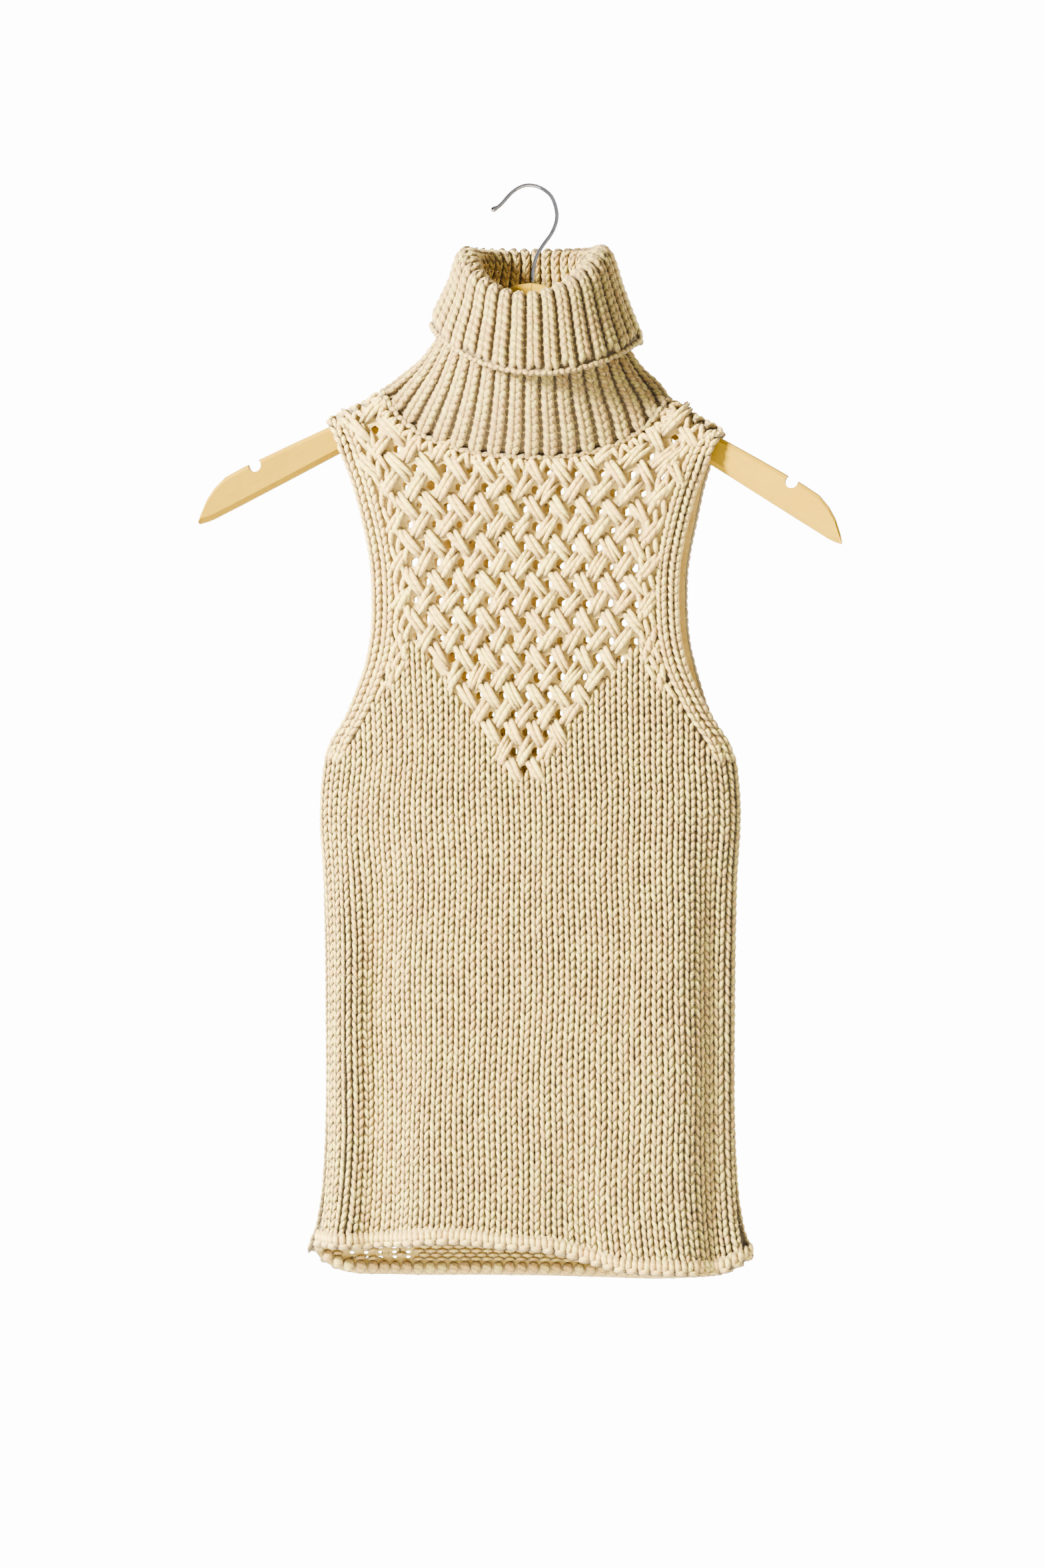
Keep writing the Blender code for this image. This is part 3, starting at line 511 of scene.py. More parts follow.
def stitch_tree():
    """The node tree; each of its three random draws adds its own number to the seed."""
    tree = bpy.data.node_groups.new("Stitch field", "GeometryNodeTree")
    for label, kind in STITCH_INPUTS:
        tree.interface.new_socket(label, in_out="INPUT", socket_type="NodeSocket" + kind)
    tree.interface.new_socket("Geometry", in_out="OUTPUT", socket_type="NodeSocketGeometry")
    nodes, link = tree.nodes, tree.links.new
    given = nodes.new("NodeGroupInput")
    result = nodes.new("NodeGroupOutput")

    def attribute(name, kind):
        """A value that the points carry."""
        node = nodes.new("GeometryNodeInputNamedAttribute")
        node.data_type = kind
        node.inputs["Name"].default_value = name
        return node.outputs["Attribute"]

    def chance(low, high, shift):
        """A random value for each point; low and high are numbers or sockets."""
        node = nodes.new("FunctionNodeRandomValue")
        seed = nodes.new("ShaderNodeMath")
        seed.operation = "ADD"
        link(given.outputs["Seed"], seed.inputs[0])
        seed.inputs[1].default_value = shift
        link(seed.outputs[0], node.inputs["Seed"])
        for socket, value in ((node.inputs[2], low), (node.inputs[3], high)):
            if isinstance(value, float):
                socket.default_value = value
            else:
                link(value, socket)
        return node.outputs[1]

    def minus(socket):
        """The socket's value with its sign turned."""
        node = nodes.new("ShaderNodeMath")
        node.operation = "MULTIPLY"
        link(socket, node.inputs[0])
        node.inputs[1].default_value = -1.0
        return node.outputs[0]

    grain_info = nodes.new("GeometryNodeObjectInfo")
    grain_info.inputs["As Instance"].default_value = True
    link(given.outputs["Stitch"], grain_info.inputs["Object"])
    aim = nodes.new("FunctionNodeAxesToRotation")
    aim.primary_axis = "Z"
    aim.secondary_axis = "Y"
    link(attribute("out", "FLOAT_VECTOR"), aim.inputs["Primary Axis"])
    link(attribute("way", "FLOAT_VECTOR"), aim.inputs["Secondary Axis"])

    vary = nodes.new("ShaderNodeVectorMath")
    vary.operation = "SCALE"
    link(attribute("size", "FLOAT_VECTOR"), vary.inputs[0])
    grown = nodes.new("ShaderNodeMath")
    grown.operation = "ADD"
    grown.inputs[0].default_value = 1.0
    size_jitter = given.outputs["Size jitter"]
    link(chance(minus(size_jitter), size_jitter, SIZE_DRAW), grown.inputs[1])
    link(grown.outputs[0], vary.inputs["Scale"])

    lay = nodes.new("GeometryNodeInstanceOnPoints")
    link(given.outputs["Geometry"], lay.inputs["Points"])
    link(grain_info.outputs["Geometry"], lay.inputs["Instance"])
    link(aim.outputs["Rotation"], lay.inputs["Rotation"])
    link(vary.outputs[0], lay.inputs["Scale"])

    spin = nodes.new("ShaderNodeCombineXYZ")
    turn_jitter = given.outputs["Turn jitter"]
    link(chance(minus(turn_jitter), turn_jitter, TURN_DRAW), spin.inputs["Z"])
    turn = nodes.new("GeometryNodeRotateInstances")
    link(lay.outputs["Instances"], turn.inputs["Instances"])
    link(spin.outputs[0], turn.inputs["Rotation"])

    store = nodes.new("GeometryNodeStoreNamedAttribute")
    store.data_type = "FLOAT"
    store.domain = "INSTANCE"
    store.inputs["Name"].default_value = "tone"
    link(turn.outputs["Instances"], store.inputs["Geometry"])
    link(chance(-1.0, 1.0, TONE_DRAW), store.inputs["Value"])
    real = nodes.new("GeometryNodeRealizeInstances")
    link(store.outputs["Geometry"], real.inputs["Geometry"])
    finish = nodes.new("GeometryNodeSetMaterial")
    link(real.outputs["Geometry"], finish.inputs["Geometry"])
    link(given.outputs["Yarn"], finish.inputs["Material"])
    link(finish.outputs["Geometry"], result.inputs["Geometry"])
    return tree


stitch_field = stitch_tree()
SOCKETS = {s.name: s.identifier for s in stitch_field.interface.items_tree if s.in_out == "INPUT"}
print("inputs", SOCKETS)

# %% Laying one field


def lay_stitches(name, points, out, way, size, stitch, yarn, seed, size_jitter=0.05, turn_jitter=0.06):
    """Lays one kind of stitch on the points and returns it as a plain mesh object."""
    count = len(points)
    cloud = bpy.data.meshes.new(name + "_points")
    cloud.vertices.add(count)
    cloud.vertices.foreach_set("co", (points * MM).ravel())
    for label, values in (("out", out), ("way", way), ("size", size)):
        values = np.broadcast_to(values, (count, 3))
        cloud.attributes.new(label, "FLOAT_VECTOR", "POINT").data.foreach_set("vector", values.ravel())
    carrier = bpy.data.objects.new(name + "_field", cloud)
    bpy.context.scene.collection.objects.link(carrier)
    field = carrier.modifiers.new("stitches", "NODES")
    field.node_group = stitch_field
    field[SOCKETS["Stitch"]] = stitch
    field[SOCKETS["Yarn"]] = yarn
    field[SOCKETS["Size jitter"]] = size_jitter
    field[SOCKETS["Turn jitter"]] = turn_jitter
    field[SOCKETS["Seed"]] = seed
    bpy.context.view_layer.update()
    seen = carrier.evaluated_get(bpy.context.evaluated_depsgraph_get())
    mesh = bpy.data.meshes.new_from_object(seen)
    mesh.name = name
    made = bpy.data.objects.new(name, mesh)
    bpy.context.scene.collection.objects.link(made)
    bpy.data.objects.remove(carrier)
    print(name, count, "stitches,", len(mesh.loops) - 2 * len(mesh.polygons), "triangles")
    return made


def joined(groups):
    """Several groups of stitches as one, column by column."""
    return [np.concatenate(parts) for parts in zip(*groups)]


print("fields use", stitch_field.name)

# %% [markdown]
# ## The yarn's finish
#
# The yarn is a soft oatmeal wool plied with a fine gold thread. Seen close, its colour drifts from stitch
# to stitch, the ply shows as slanting furrows, and the gold glints in tiny sparks. Shade is painted into
# the colour too: between the stitches, on the sides and ends of each grain and in the ply furrows, the
# colour is mixed towards a dark warm tan, the shade where light bounces from yarn to yarn. One node group
# gives all of that, and each yarn material feeds it its own colours and its own painted shade colour.

# %% Helpers for shader nodes


def group_tree(name, inputs, outputs):
    """A shader node group with named sockets, given as (name, kind, value)."""
    tree = bpy.data.node_groups.new(name, "ShaderNodeTree")
    for label, kind, value in inputs:
        socket = tree.interface.new_socket(label, in_out="INPUT", socket_type="NodeSocket" + kind)
        if value is not None:
            socket.default_value = value
    for label, kind in outputs:
        tree.interface.new_socket(label, in_out="OUTPUT", socket_type="NodeSocket" + kind)
    return tree, tree.nodes.new("NodeGroupInput"), tree.nodes.new("NodeGroupOutput")


def add_math(tree, operation, first, second=None, third=None, clamp=False):
    """One Math node; each value is a number or a socket."""
    node = tree.nodes.new("ShaderNodeMath")
    node.operation = operation
    node.use_clamp = clamp
    for socket, value in zip(node.inputs, (first, second, third)):
        if value is None:
            continue
        if isinstance(value, (int, float)):
            socket.default_value = value
        else:
            tree.links.new(value, socket)
    return node.outputs[0]


def add_mix(tree, amount, first, second, blend="MIX"):
    """One colour Mix node; a colour is three numbers or a socket."""
    node = tree.nodes.new("ShaderNodeMix")
    node.data_type = "RGBA"
    node.blend_type = blend
    sockets = (node.inputs["Factor"], node.inputs[6], node.inputs[7])
    for socket, value in zip(sockets, (amount, first, second)):
        if isinstance(value, (int, float)):
            socket.default_value = value
        elif isinstance(value, tuple):
            socket.default_value = (*value, 1.0)
        else:
            tree.links.new(value, socket)
    return node.outputs[2]


def add_noise(tree, vector, scale, detail=2.0, roughness=0.5):
    """The value of one Noise node."""
    node = tree.nodes.new("ShaderNodeTexNoise")
    node.inputs["Scale"].default_value = scale
    node.inputs["Detail"].default_value = detail
    node.inputs["Roughness"].default_value = roughness
    tree.links.new(vector, node.inputs["Vector"])
    return node.outputs["Fac"]


print("node helpers ready")

# %% The plied yarn
PLIES = 2
PLY_SLANT = 1.35
PLY_WANDER = 0.45
FURROW_SHARPNESS = 3.0
WANDER_SCALE = 260.0
FIBRE_SCALE = 1500.0
MOTTLE_SCALE = 430.0
DRIFT_SCALE = 28.0
GOLD_SCALE = 620.0
WARMER = (1.14, 0.95, 0.90)
COOLER = (0.92, 1.05, 0.80)
TINT_SHARE = 0.8
BASE_SHADE = 0.68
TONE_SHADE = 0.17
FIBRE_SHADE = 0.22
MOTTLE_SHADE = 0.42
DRIFT_SHADE = 0.12
# painted shade: how far it reaches up the grain, its curve, its most, and how much the ply furrows add
RECESS_REACH = 2.3
RECESS_CURVE = 1.2
RECESS_MOST = 0.95
FURROW_SHADE = 0.4
FURROW_SINKS = 0.75
SPARK_SMALLEST = 0.12
SPARK_GROWS = 0.22
SPARK_METAL = 0.85
YARN_ROUGHNESS = 0.9
SPARK_SMOOTHS = 0.62


def yarn_group():
    """Colour, metal, roughness and height of the yarn, from its crest, its tone and its twist; the colour
    takes painted shade where the crest is low and in the ply furrows.
    """
    tree, given, result = group_tree(
        "Plied yarn",
        (
            ("Yarn", "Color", (0.8, 0.7, 0.5, 1.0)),
            ("Recess", "Color", (0.4, 0.28, 0.14, 1.0)),
            ("Gold", "Color", (1.0, 0.85, 0.5, 1.0)),
            ("Crest", "Float", 1.0),
            ("Tone", "Float", 0.0),
            ("Twist", "Float", 0.5),
            ("Gold share", "Float", 0.2),
        ),
        (("Colour", "Color"), ("Metal", "Float"), ("Roughness", "Float"), ("Height", "Float")),
    )
    link = tree.links.new
    place_on = tree.nodes.new("ShaderNodeTexCoord").outputs["Object"]
    uv = tree.nodes.new("ShaderNodeUVMap")
    uv.uv_map = "yarn"
    split = tree.nodes.new("ShaderNodeSeparateXYZ")
    link(uv.outputs["UV"], split.inputs[0])

    wander = add_noise(tree, place_on, WANDER_SCALE, 1.0)
    turn = add_math(tree, "MULTIPLY_ADD", split.outputs["Y"], PLY_SLANT, split.outputs["X"])
    turn = add_math(tree, "MULTIPLY_ADD", wander, PLY_WANDER, turn)
    wave = add_math(tree, "COSINE", add_math(tree, "MULTIPLY", turn, PLIES * 2.0 * math.pi))
    furrow = add_math(tree, "POWER", add_math(tree, "MULTIPLY_ADD", wave, 0.5, 0.5), FURROW_SHARPNESS)
    furrow = add_math(tree, "MULTIPLY", furrow, given.outputs["Twist"])

    fibre = add_noise(tree, place_on, FIBRE_SCALE, 3.0, 0.65)
    mottle = add_noise(tree, place_on, MOTTLE_SCALE, 2.0, 0.6)
    drift = add_noise(tree, place_on, DRIFT_SCALE, 2.0)

    coolness = add_math(tree, "MULTIPLY_ADD", given.outputs["Tone"], 0.5, 0.5)
    tint = add_mix(tree, coolness, WARMER, COOLER)
    colour = add_mix(tree, TINT_SHARE, given.outputs["Yarn"], tint, "MULTIPLY")
    light = add_math(tree, "MULTIPLY_ADD", given.outputs["Tone"], TONE_SHADE, BASE_SHADE)
    light = add_math(tree, "MULTIPLY_ADD", fibre, FIBRE_SHADE, light)
    light = add_math(tree, "MULTIPLY_ADD", mottle, MOTTLE_SHADE, light)
    light = add_math(tree, "MULTIPLY_ADD", drift, DRIFT_SHADE, light)
    shade = tree.nodes.new("ShaderNodeCombineXYZ")
    for socket in shade.inputs:
        link(light, socket)
    colour = add_mix(tree, 1.0, colour, shade.outputs[0], "MULTIPLY")
    # painted shade: the colour is mixed towards the recess shade colour where the crest is low and in the
    # ply furrows
    crest = given.outputs["Crest"]
    deep = add_math(tree, "MULTIPLY_ADD", crest, -RECESS_REACH, RECESS_REACH, clamp=True)
    deep = add_math(tree, "POWER", deep, RECESS_CURVE)
    deep = add_math(tree, "MULTIPLY_ADD", furrow, FURROW_SHADE, deep, clamp=True)
    colour = add_mix(tree, add_math(tree, "MULTIPLY", deep, RECESS_MOST), colour, given.outputs["Recess"])

    cells = tree.nodes.new("ShaderNodeTexVoronoi")
    cells.inputs["Scale"].default_value = GOLD_SCALE
    link(place_on, cells.inputs["Vector"])
    parts = tree.nodes.new("ShaderNodeSeparateColor")
    link(cells.outputs["Color"], parts.inputs[0])
    chosen = add_math(tree, "LESS_THAN", parts.outputs[0], given.outputs["Gold share"])
    reach = add_math(tree, "MULTIPLY_ADD", parts.outputs[1], SPARK_GROWS, SPARK_SMALLEST)
    small = add_math(tree, "LESS_THAN", cells.outputs["Distance"], reach)
    spark = add_math(tree, "MULTIPLY", chosen, small)
    colour = add_mix(tree, spark, colour, given.outputs["Gold"])

    link(colour, result.inputs["Colour"])
    link(add_math(tree, "MULTIPLY", spark, SPARK_METAL), result.inputs["Metal"])
    roughness = add_math(tree, "MULTIPLY_ADD", spark, -SPARK_SMOOTHS, YARN_ROUGHNESS)
    link(roughness, result.inputs["Roughness"])
    height = add_math(tree, "MULTIPLY_ADD", furrow, -FURROW_SINKS, fibre)
    link(add_math(tree, "MULTIPLY_ADD", parts.outputs[2], spark, height), result.inputs["Height"])
    return tree


plied_yarn = yarn_group()
print(plied_yarn.name, "has", len(plied_yarn.nodes), "nodes")

# %% Yarn materials
RELIEF_STRENGTH = 0.9
RELIEF_DEPTH = 0.9 * MM
SHEEN_TINT = (1.0, 0.95, 0.85, 1.0)


def knit_material(name, yarn, recess_shade, twist, gold_share, crest=None):
    """A yarn finish with painted shade in the recess shade colour; a plain ground has no grains to read
    values from, so its crest, and with it its painted shade, is given.
    """
    made = bpy.data.materials.new(name)
    made.use_nodes = True
    tree = made.node_tree
    shader = tree.nodes["Principled BSDF"]
    look = tree.nodes.new("ShaderNodeGroup")
    look.node_tree = plied_yarn
    look.inputs["Yarn"].default_value = (*yarn, 1.0)
    look.inputs["Recess"].default_value = (*recess_shade, 1.0)
    look.inputs["Twist"].default_value = twist
    look.inputs["Gold share"].default_value = gold_share
    if crest is not None:
        look.inputs["Crest"].default_value = crest
    else:
        for label, socket in (("crest", "Crest"), ("tone", "Tone")):
            node = tree.nodes.new("ShaderNodeAttribute")
            node.attribute_name = label
            tree.links.new(node.outputs["Fac"], look.inputs[socket])
    tree.links.new(look.outputs["Colour"], shader.inputs["Base Color"])
    tree.links.new(look.outputs["Metal"], shader.inputs["Metallic"])
    tree.links.new(look.outputs["Roughness"], shader.inputs["Roughness"])
    relief = tree.nodes.new("ShaderNodeBump")
    relief.inputs["Strength"].default_value = RELIEF_STRENGTH
    relief.inputs["Distance"].default_value = RELIEF_DEPTH
    tree.links.new(look.outputs["Height"], relief.inputs["Height"])
    tree.links.new(relief.outputs["Normal"], shader.inputs["Normal"])
    shader.inputs["Sheen Weight"].default_value = 0.22
    shader.inputs["Sheen Roughness"].default_value = 0.55
    shader.inputs["Sheen Tint"].default_value = SHEEN_TINT
    shader.inputs["Specular IOR Level"].default_value = 0.25
    return made


OATMEAL = (0.89, 0.685, 0.205)
# the oatmeal darkened to about 0.7 in every channel: painted shade for the neck's ribs, chains and ground
NECK_SHADED_OATMEAL = (0.62, 0.468, 0.145)
# painted shade colours, mixed in where stitches meet, dive or sink and on the grounds
PAINTED_SHADE_TAN = (0.075, 0.061, 0.037)
PAINTED_SHADE_HONEY = (0.3, 0.22, 0.105)
PAINTED_SHADE_BARK = (0.12, 0.087, 0.045)
# the oatmeal darkened to about 0.4: painted shade for the bumps sunk between the ribs
SUNKEN_SHADED_OATMEAL = (0.36, 0.26, 0.09)
body_yarn = knit_material("oatmeal_yarn", OATMEAL, PAINTED_SHADE_TAN, twist=0.55, gold_share=0.16)
lattice_yarn = knit_material("oatmeal_lattice_yarn", OATMEAL, PAINTED_SHADE_HONEY, twist=0.7, gold_share=0.16)
rib_yarn = knit_material("oatmeal_rib_yarn", NECK_SHADED_OATMEAL, PAINTED_SHADE_BARK, twist=0.75, gold_share=0.2)
shaded_sunken_yarn = knit_material("oatmeal_sunken_yarn", SUNKEN_SHADED_OATMEAL, PAINTED_SHADE_TAN, twist=0.6, gold_share=0.3)
# the grounds' crest is given: the knit and rib grounds, seen only between stitches, are painted almost
# wholly shade; the lattice ground and the insides take some painted shade
GROUND_LOOK = {"twist": 0.3, "gold_share": 0.05}
ground_yarn = knit_material("knit_ground", OATMEAL, PAINTED_SHADE_TAN, crest=0.25, **GROUND_LOOK)
lattice_ground_yarn = knit_material("lattice_ground", OATMEAL, PAINTED_SHADE_HONEY, crest=0.8, **GROUND_LOOK)
inside_yarn = knit_material("knit_inside", OATMEAL, PAINTED_SHADE_HONEY, crest=0.85, **GROUND_LOOK)
rib_ground_yarn = knit_material("rib_ground", NECK_SHADED_OATMEAL, PAINTED_SHADE_BARK, crest=0.12, **GROUND_LOOK)
print("yarns", body_yarn.name, rib_yarn.name, ground_yarn.name)

# %% [markdown]
# ## The lattice's plan
#
# The yoke looks woven: slanting bars pass over and under each other, with a small hole in every second
# place, like the squares of a chessboard. One function gives the flat place of any square, and it fans
# out towards the shoulders as the yoke widens. The ground's holes and the bars both come from it.

# %% Lattice places
HALF_PERIOD_TOP = 8.6
HALF_PERIOD_TIP = 7.5
ROW = 13.0
FIRST_ROW_Z = -200.0
TIP_Z = -413.0
V_SLOPE = 103.0 / 87.0
EDGE_WALES = 21.0
FAN_COLUMNS = 12.5
FAN_Z = -292.0
WIDE_PERIOD_Z = -300.0
NECK_CORNER = 4.0
LATTICE_EDGE = 9.0
HOLE_MARGIN = 2.0
BAR_MARGIN = -5.0
LATTICE_SHIFT = {"front": (0.0, 0.0), "back": (-1.7, 1.0)}
LATTICE_ROWS = range(-5, 19)
LATTICE_COLUMNS = range(-15, 16)


def lattice_place(column, row, side):
    """Flat places of lattice squares, in half periods across and rows down."""
    column, row = np.asarray(column, float), np.asarray(row, float)
    across, up = LATTICE_SHIFT[side]
    z = FIRST_ROW_Z - row * ROW + up
    half_period = HALF_PERIOD_TIP + (HALF_PERIOD_TOP - HALF_PERIOD_TIP) * ease(z, TIP_Z, WIDE_PERIOD_Z)
    spread = np.where(z > FAN_Z, np.maximum(along(SIDE, z) - NARROW, 0.0), 0.0)
    fan = spread * (np.abs(column) / FAN_COLUMNS) ** 2
    return column * half_period + np.copysign(fan, column) + across, z


def in_lattice(x, z, side, margin=0.0):
    """True where a flat place belongs to the lattice yoke."""
    inside = z >= TIP_Z + np.abs(x) * V_SLOPE + margin
    inside &= np.abs(x) <= along(SIDE, z) - EDGE_WALES - margin
    edge = LATTICE_EDGE + margin
    inside &= ~((np.abs(x) < NECK_HALF + NECK_CORNER) & (z > neck_line(x, side) - edge))
    return inside & (z < shoulder_line(x) - edge)


def lattice_squares(side, odd, margin):
    """Columns and rows of the lattice's bars (odd) or holes (even)."""
    found = []
    for row in LATTICE_ROWS:
        for column in LATTICE_COLUMNS:
            if (column + row) % 2 != odd:
                continue
            x, z = lattice_place(column, row, side)
            if in_lattice(x, z, side, margin):
                found.append((column, row))
    return np.array(found)


print("front holes", len(lattice_squares("front", 0, HOLE_MARGIN)))
print("front bars", len(lattice_squares("front", 1, BAR_MARGIN)))

# %% [markdown]
# ## The ground cloth
#
# Under the stitches lies one thin sheet for each panel, cut in the panel's flat outline with the lattice's
# holes, then hung by `place`. A flat triangulation does the cutting, because it keeps every hole clean,
# and Solidify gives the sheet its thickness once it hangs. Its outside, seen only between the stitches,
# is painted almost wholly shade; the lattice ground and the inside take some painted shade.

# %% Holes
HOLE_HALF_WIDTH = 2.9
HOLE_HALF_HEIGHT = 3.5
HOLE_SLIP = 0.8
HOLE_GROW = (0.75, 1.15)
hole_rng = np.random.default_rng(5)

# the back's loose stitches near the hem: first hole, spacing and number across, heights, half sizes
LOOSE_FIRST_X = -127.5
LOOSE_STEP = 9.7
LOOSE_COUNT = 5
LOOSE_ROWS = (-744.6, -748.1, -751.6)
LOOSE_HALF_WIDTH = 1.6
LOOSE_HALF_HEIGHT = 0.95
LOOSE_REACH = 7.0


def by_loose_stitch(x, z, reach):
    """True within reach, across, of a column of the loose stitches near the back's hem."""
    nearest = np.clip(np.round((x - LOOSE_FIRST_X) / LOOSE_STEP), 0, LOOSE_COUNT - 1)
    close = np.abs(x - LOOSE_FIRST_X - nearest * LOOSE_STEP) < reach
    return close & (z < LOOSE_ROWS[0] + LOOSE_REACH) & (z > LOOSE_ROWS[-1] - LOOSE_REACH)


def hole_list(side):
    """Every hole of a panel's ground: place, half width and half height."""
    squares = lattice_squares(side, 0, HOLE_MARGIN)
    xs, zs = lattice_place(squares[:, 0], squares[:, 1], side)
    slip = hole_rng.uniform(-HOLE_SLIP, HOLE_SLIP, (2, len(squares)))
    grow = hole_rng.uniform(*HOLE_GROW, len(squares))
    holes = list(zip(xs + slip[0], zs + slip[1], grow * HOLE_HALF_WIDTH, grow * HOLE_HALF_HEIGHT))
    if side == "back":
        holes += [(LOOSE_FIRST_X + n * LOOSE_STEP, z, LOOSE_HALF_WIDTH, LOOSE_HALF_HEIGHT)
                  for n in range(LOOSE_COUNT) for z in LOOSE_ROWS]
    return holes


print("loose stitches", LOOSE_COUNT * len(LOOSE_ROWS))

# %% The panel's flat outline
OUTLINE_STEP = 5.0
SHOULDER_STEP = 4.0
NECK_TURN = 0.06
QUARTER_TURN = 1.5708
HEM_ENDS = (-154.5, 154.3)
HEM_SEAM_X = 154.0
HEM_CLEAR = 2.0
SIDE_ENDS = (-736.0, -176.0)
NECK_SIDE_CLEAR = 3.0


def even_steps(low, high, step):
    """Evenly spaced values from low to high, about one step apart."""
    return np.linspace(low, high, max(int(round(abs(high - low) / step)), 1) + 1)


def flat_outline(side):
    """The panel's flat outline, anticlockwise, and for each point whether it lies on a seam."""
    hem_x = even_steps(*HEM_ENDS, OUTLINE_STEP)
    hem = [(x, float(along(HEM[side], x)), abs(x) > HEM_SEAM_X) for x in hem_x]
    right = [(float(half_width(z, side)), z, z <= UNDERARM_Z) for z in even_steps(*SIDE_ENDS, OUTLINE_STEP)]
    right = [p for p in right if p[1] > hem[-1][1] + HEM_CLEAR]
    shoulder_x = even_steps(SHOULDER_TIP, NECK_HALF + NECK_SIDE_CLEAR, SHOULDER_STEP)
    shoulder = [(x, float(shoulder_line(x)), True) for x in shoulder_x]
    neck_x = NECK_HALF * np.sin(even_steps(-QUARTER_TURN, QUARTER_TURN, NECK_TURN))[::-1]
    neck = [(x, float(neck_line(x, side)), False) for x in neck_x]
    left = [(-x, z, seam) for x, z, seam in reversed(right + shoulder)]
    return hem + right + shoulder + neck + left


def inside_outline(outline, x, z):
    """True for each flat place that lies inside a closed outline."""
    hit = np.zeros(len(x), bool)
    for (x0, z0, _), (x1, z1, _) in zip(outline, outline[1:] + outline[:1]):
        if z0 != z1:
            crosses = (z0 > z) != (z1 > z)
            hit ^= crosses & (x < x0 + (z - z0) * (x1 - x0) / (z1 - z0))
    return hit


print("outline points", len(flat_outline("front")))

# %% Cut and hang one sheet
GROUND_DEPTH = 0.8
HOLE_CORNERS = 6
GRID_STEP = 6.5
GRID_ENDS = (-760.0, -152.0)
GRID_TURN = 1.47
GRID_CLOSER = 0.9
HOLE_CLEAR = 6.0
EDGE_CLEAR = 2.4
CUT_TOLERANCE = 1e-5
YOKE_MARGIN = -6.0


def in_ground(face, hole_of):
    """False for a face whose corners all lie on one hole."""
    holes = {hole_of.get(i) for i in face}
    return len(holes) > 1 or None in holes


def ground_sheet(name, side):
    """A panel's thin cloth: cut flat with its holes, then hung a little inside the stitches."""
    outline = flat_outline(side)
    flat = [(x, z) for x, z, _ in outline]
    seam = [on for _, _, on in outline]
    edges = [(i, (i + 1) % len(flat)) for i in range(len(flat))]
    hole_of = {}
    holes = hole_list(side)
    hole_x, hole_z = np.array(holes)[:, :2].T
    for number, (x, z, half_wide, half_high) in enumerate(holes):
        start = len(flat)
        for corner in range(HOLE_CORNERS):
            angle = math.pi / 2.0 + corner * 2.0 * math.pi / HOLE_CORNERS
            hole_of[len(flat)] = number
            flat.append((x + half_wide * math.cos(angle), z + half_high * math.sin(angle)))
            seam.append(False)
        edges += [(start + c, start + (c + 1) % HOLE_CORNERS) for c in range(HOLE_CORNERS)]
    for z in even_steps(*GRID_ENDS, GRID_STEP):
        reach = float(half_width(z, side))
        xs = reach * np.sin(even_steps(-GRID_TURN, GRID_TURN, GRID_STEP / reach * GRID_CLOSER))
        zs = np.full(len(xs), z)
        keep = inside_outline(outline, xs, zs)
        for x in xs[keep]:
            clear = np.min(np.hypot(hole_x - x, hole_z - z)) > HOLE_CLEAR
            edge = min(math.hypot(x - ox, z - oz) for ox, oz, _ in outline)
            if clear and edge > EDGE_CLEAR:
                flat.append((float(x), float(z)))
                seam.append(False)
    result = delaunay_2d_cdt([Vector(p) for p in flat], edges, [], 0, CUT_TOLERANCE)
    origin = [ids[0] for ids in result[3]]
    faces = [[origin[i] for i in face] for face in result[2]]
    middle = np.array([[sum(flat[i][axis] for i in face) / 3.0 for axis in (0, 1)] for face in faces])
    inside = inside_outline(outline, middle[:, 0], middle[:, 1])
    yoke = in_lattice(middle[:, 0], middle[:, 1], side, YOKE_MARGIN)
    kept, finishes = [], []
    for face, on, in_yoke in zip(faces, inside, yoke):
        if on and in_ground(face, hole_of):
            kept.append(face[::-1] if side == "back" else face)
            finishes.append(int(in_yoke))
    x, z = np.array(flat).T
    normal = facing(x, z, side)
    normal[np.array(seam), 1] = 0.0
    points = place(x, z, side) - unit(normal) * GROUND_DEPTH
    mesh = bpy.data.meshes.new(name)
    mesh.from_pydata([tuple(p) for p in points * MM], [], kept)
    mesh.update()
    # outside: the knit ground, almost wholly painted shade, and the lattice ground; inside: the inside
    # yarn, with some painted shade
    for yarn in (ground_yarn, lattice_ground_yarn, inside_yarn, inside_yarn):
        mesh.materials.append(yarn)
    mesh.polygons.foreach_set("material_index", finishes)
    made = bpy.data.objects.new(name, mesh)
    bpy.context.scene.collection.objects.link(made)
    return made


print("grid of", GRID_STEP, "mm")

# %% Give the sheets their wall
GROUND_THICK = 1.4
INNER_FINISH = 2


def thicken(made, thickness):
    """Gives a sheet its wall and bakes it into the mesh."""
    wall = made.modifiers.new("wall", "SOLIDIFY")
    wall.thickness = thickness * MM
    wall.offset = 0.0
    wall.material_offset = INNER_FINISH
    bpy.context.view_layer.update()
    mesh = bpy.data.meshes.new_from_object(made.evaluated_get(bpy.context.evaluated_depsgraph_get()))
    made.modifiers.clear()
    made.data = mesh
    mesh.name = made.name
    mesh.shade_smooth()
    print(made.name, len(mesh.loops) - 2 * len(mesh.polygons), "triangles")
    return made


grounds = {}
for side in ("front", "back"):
    grounds[side] = thicken(ground_sheet(side + "_ground", side), GROUND_THICK)

# %% [markdown]
# ## Plain knit
#
# Stitches stand in columns, which knitters call wales, and rows, called courses. Below the underarms
# the same number of wales fills every width, so they spread where the body widens. The spacing is
# measured over the curved cloth, not across the flat one, or the stitches would stretch at the sides.
# Two legs lean outwards from the bottom of each stitch.

# %% Rows over the curved cloth
ROW_POINTS = 361
LEG_LEAN = math.radians(13.0)


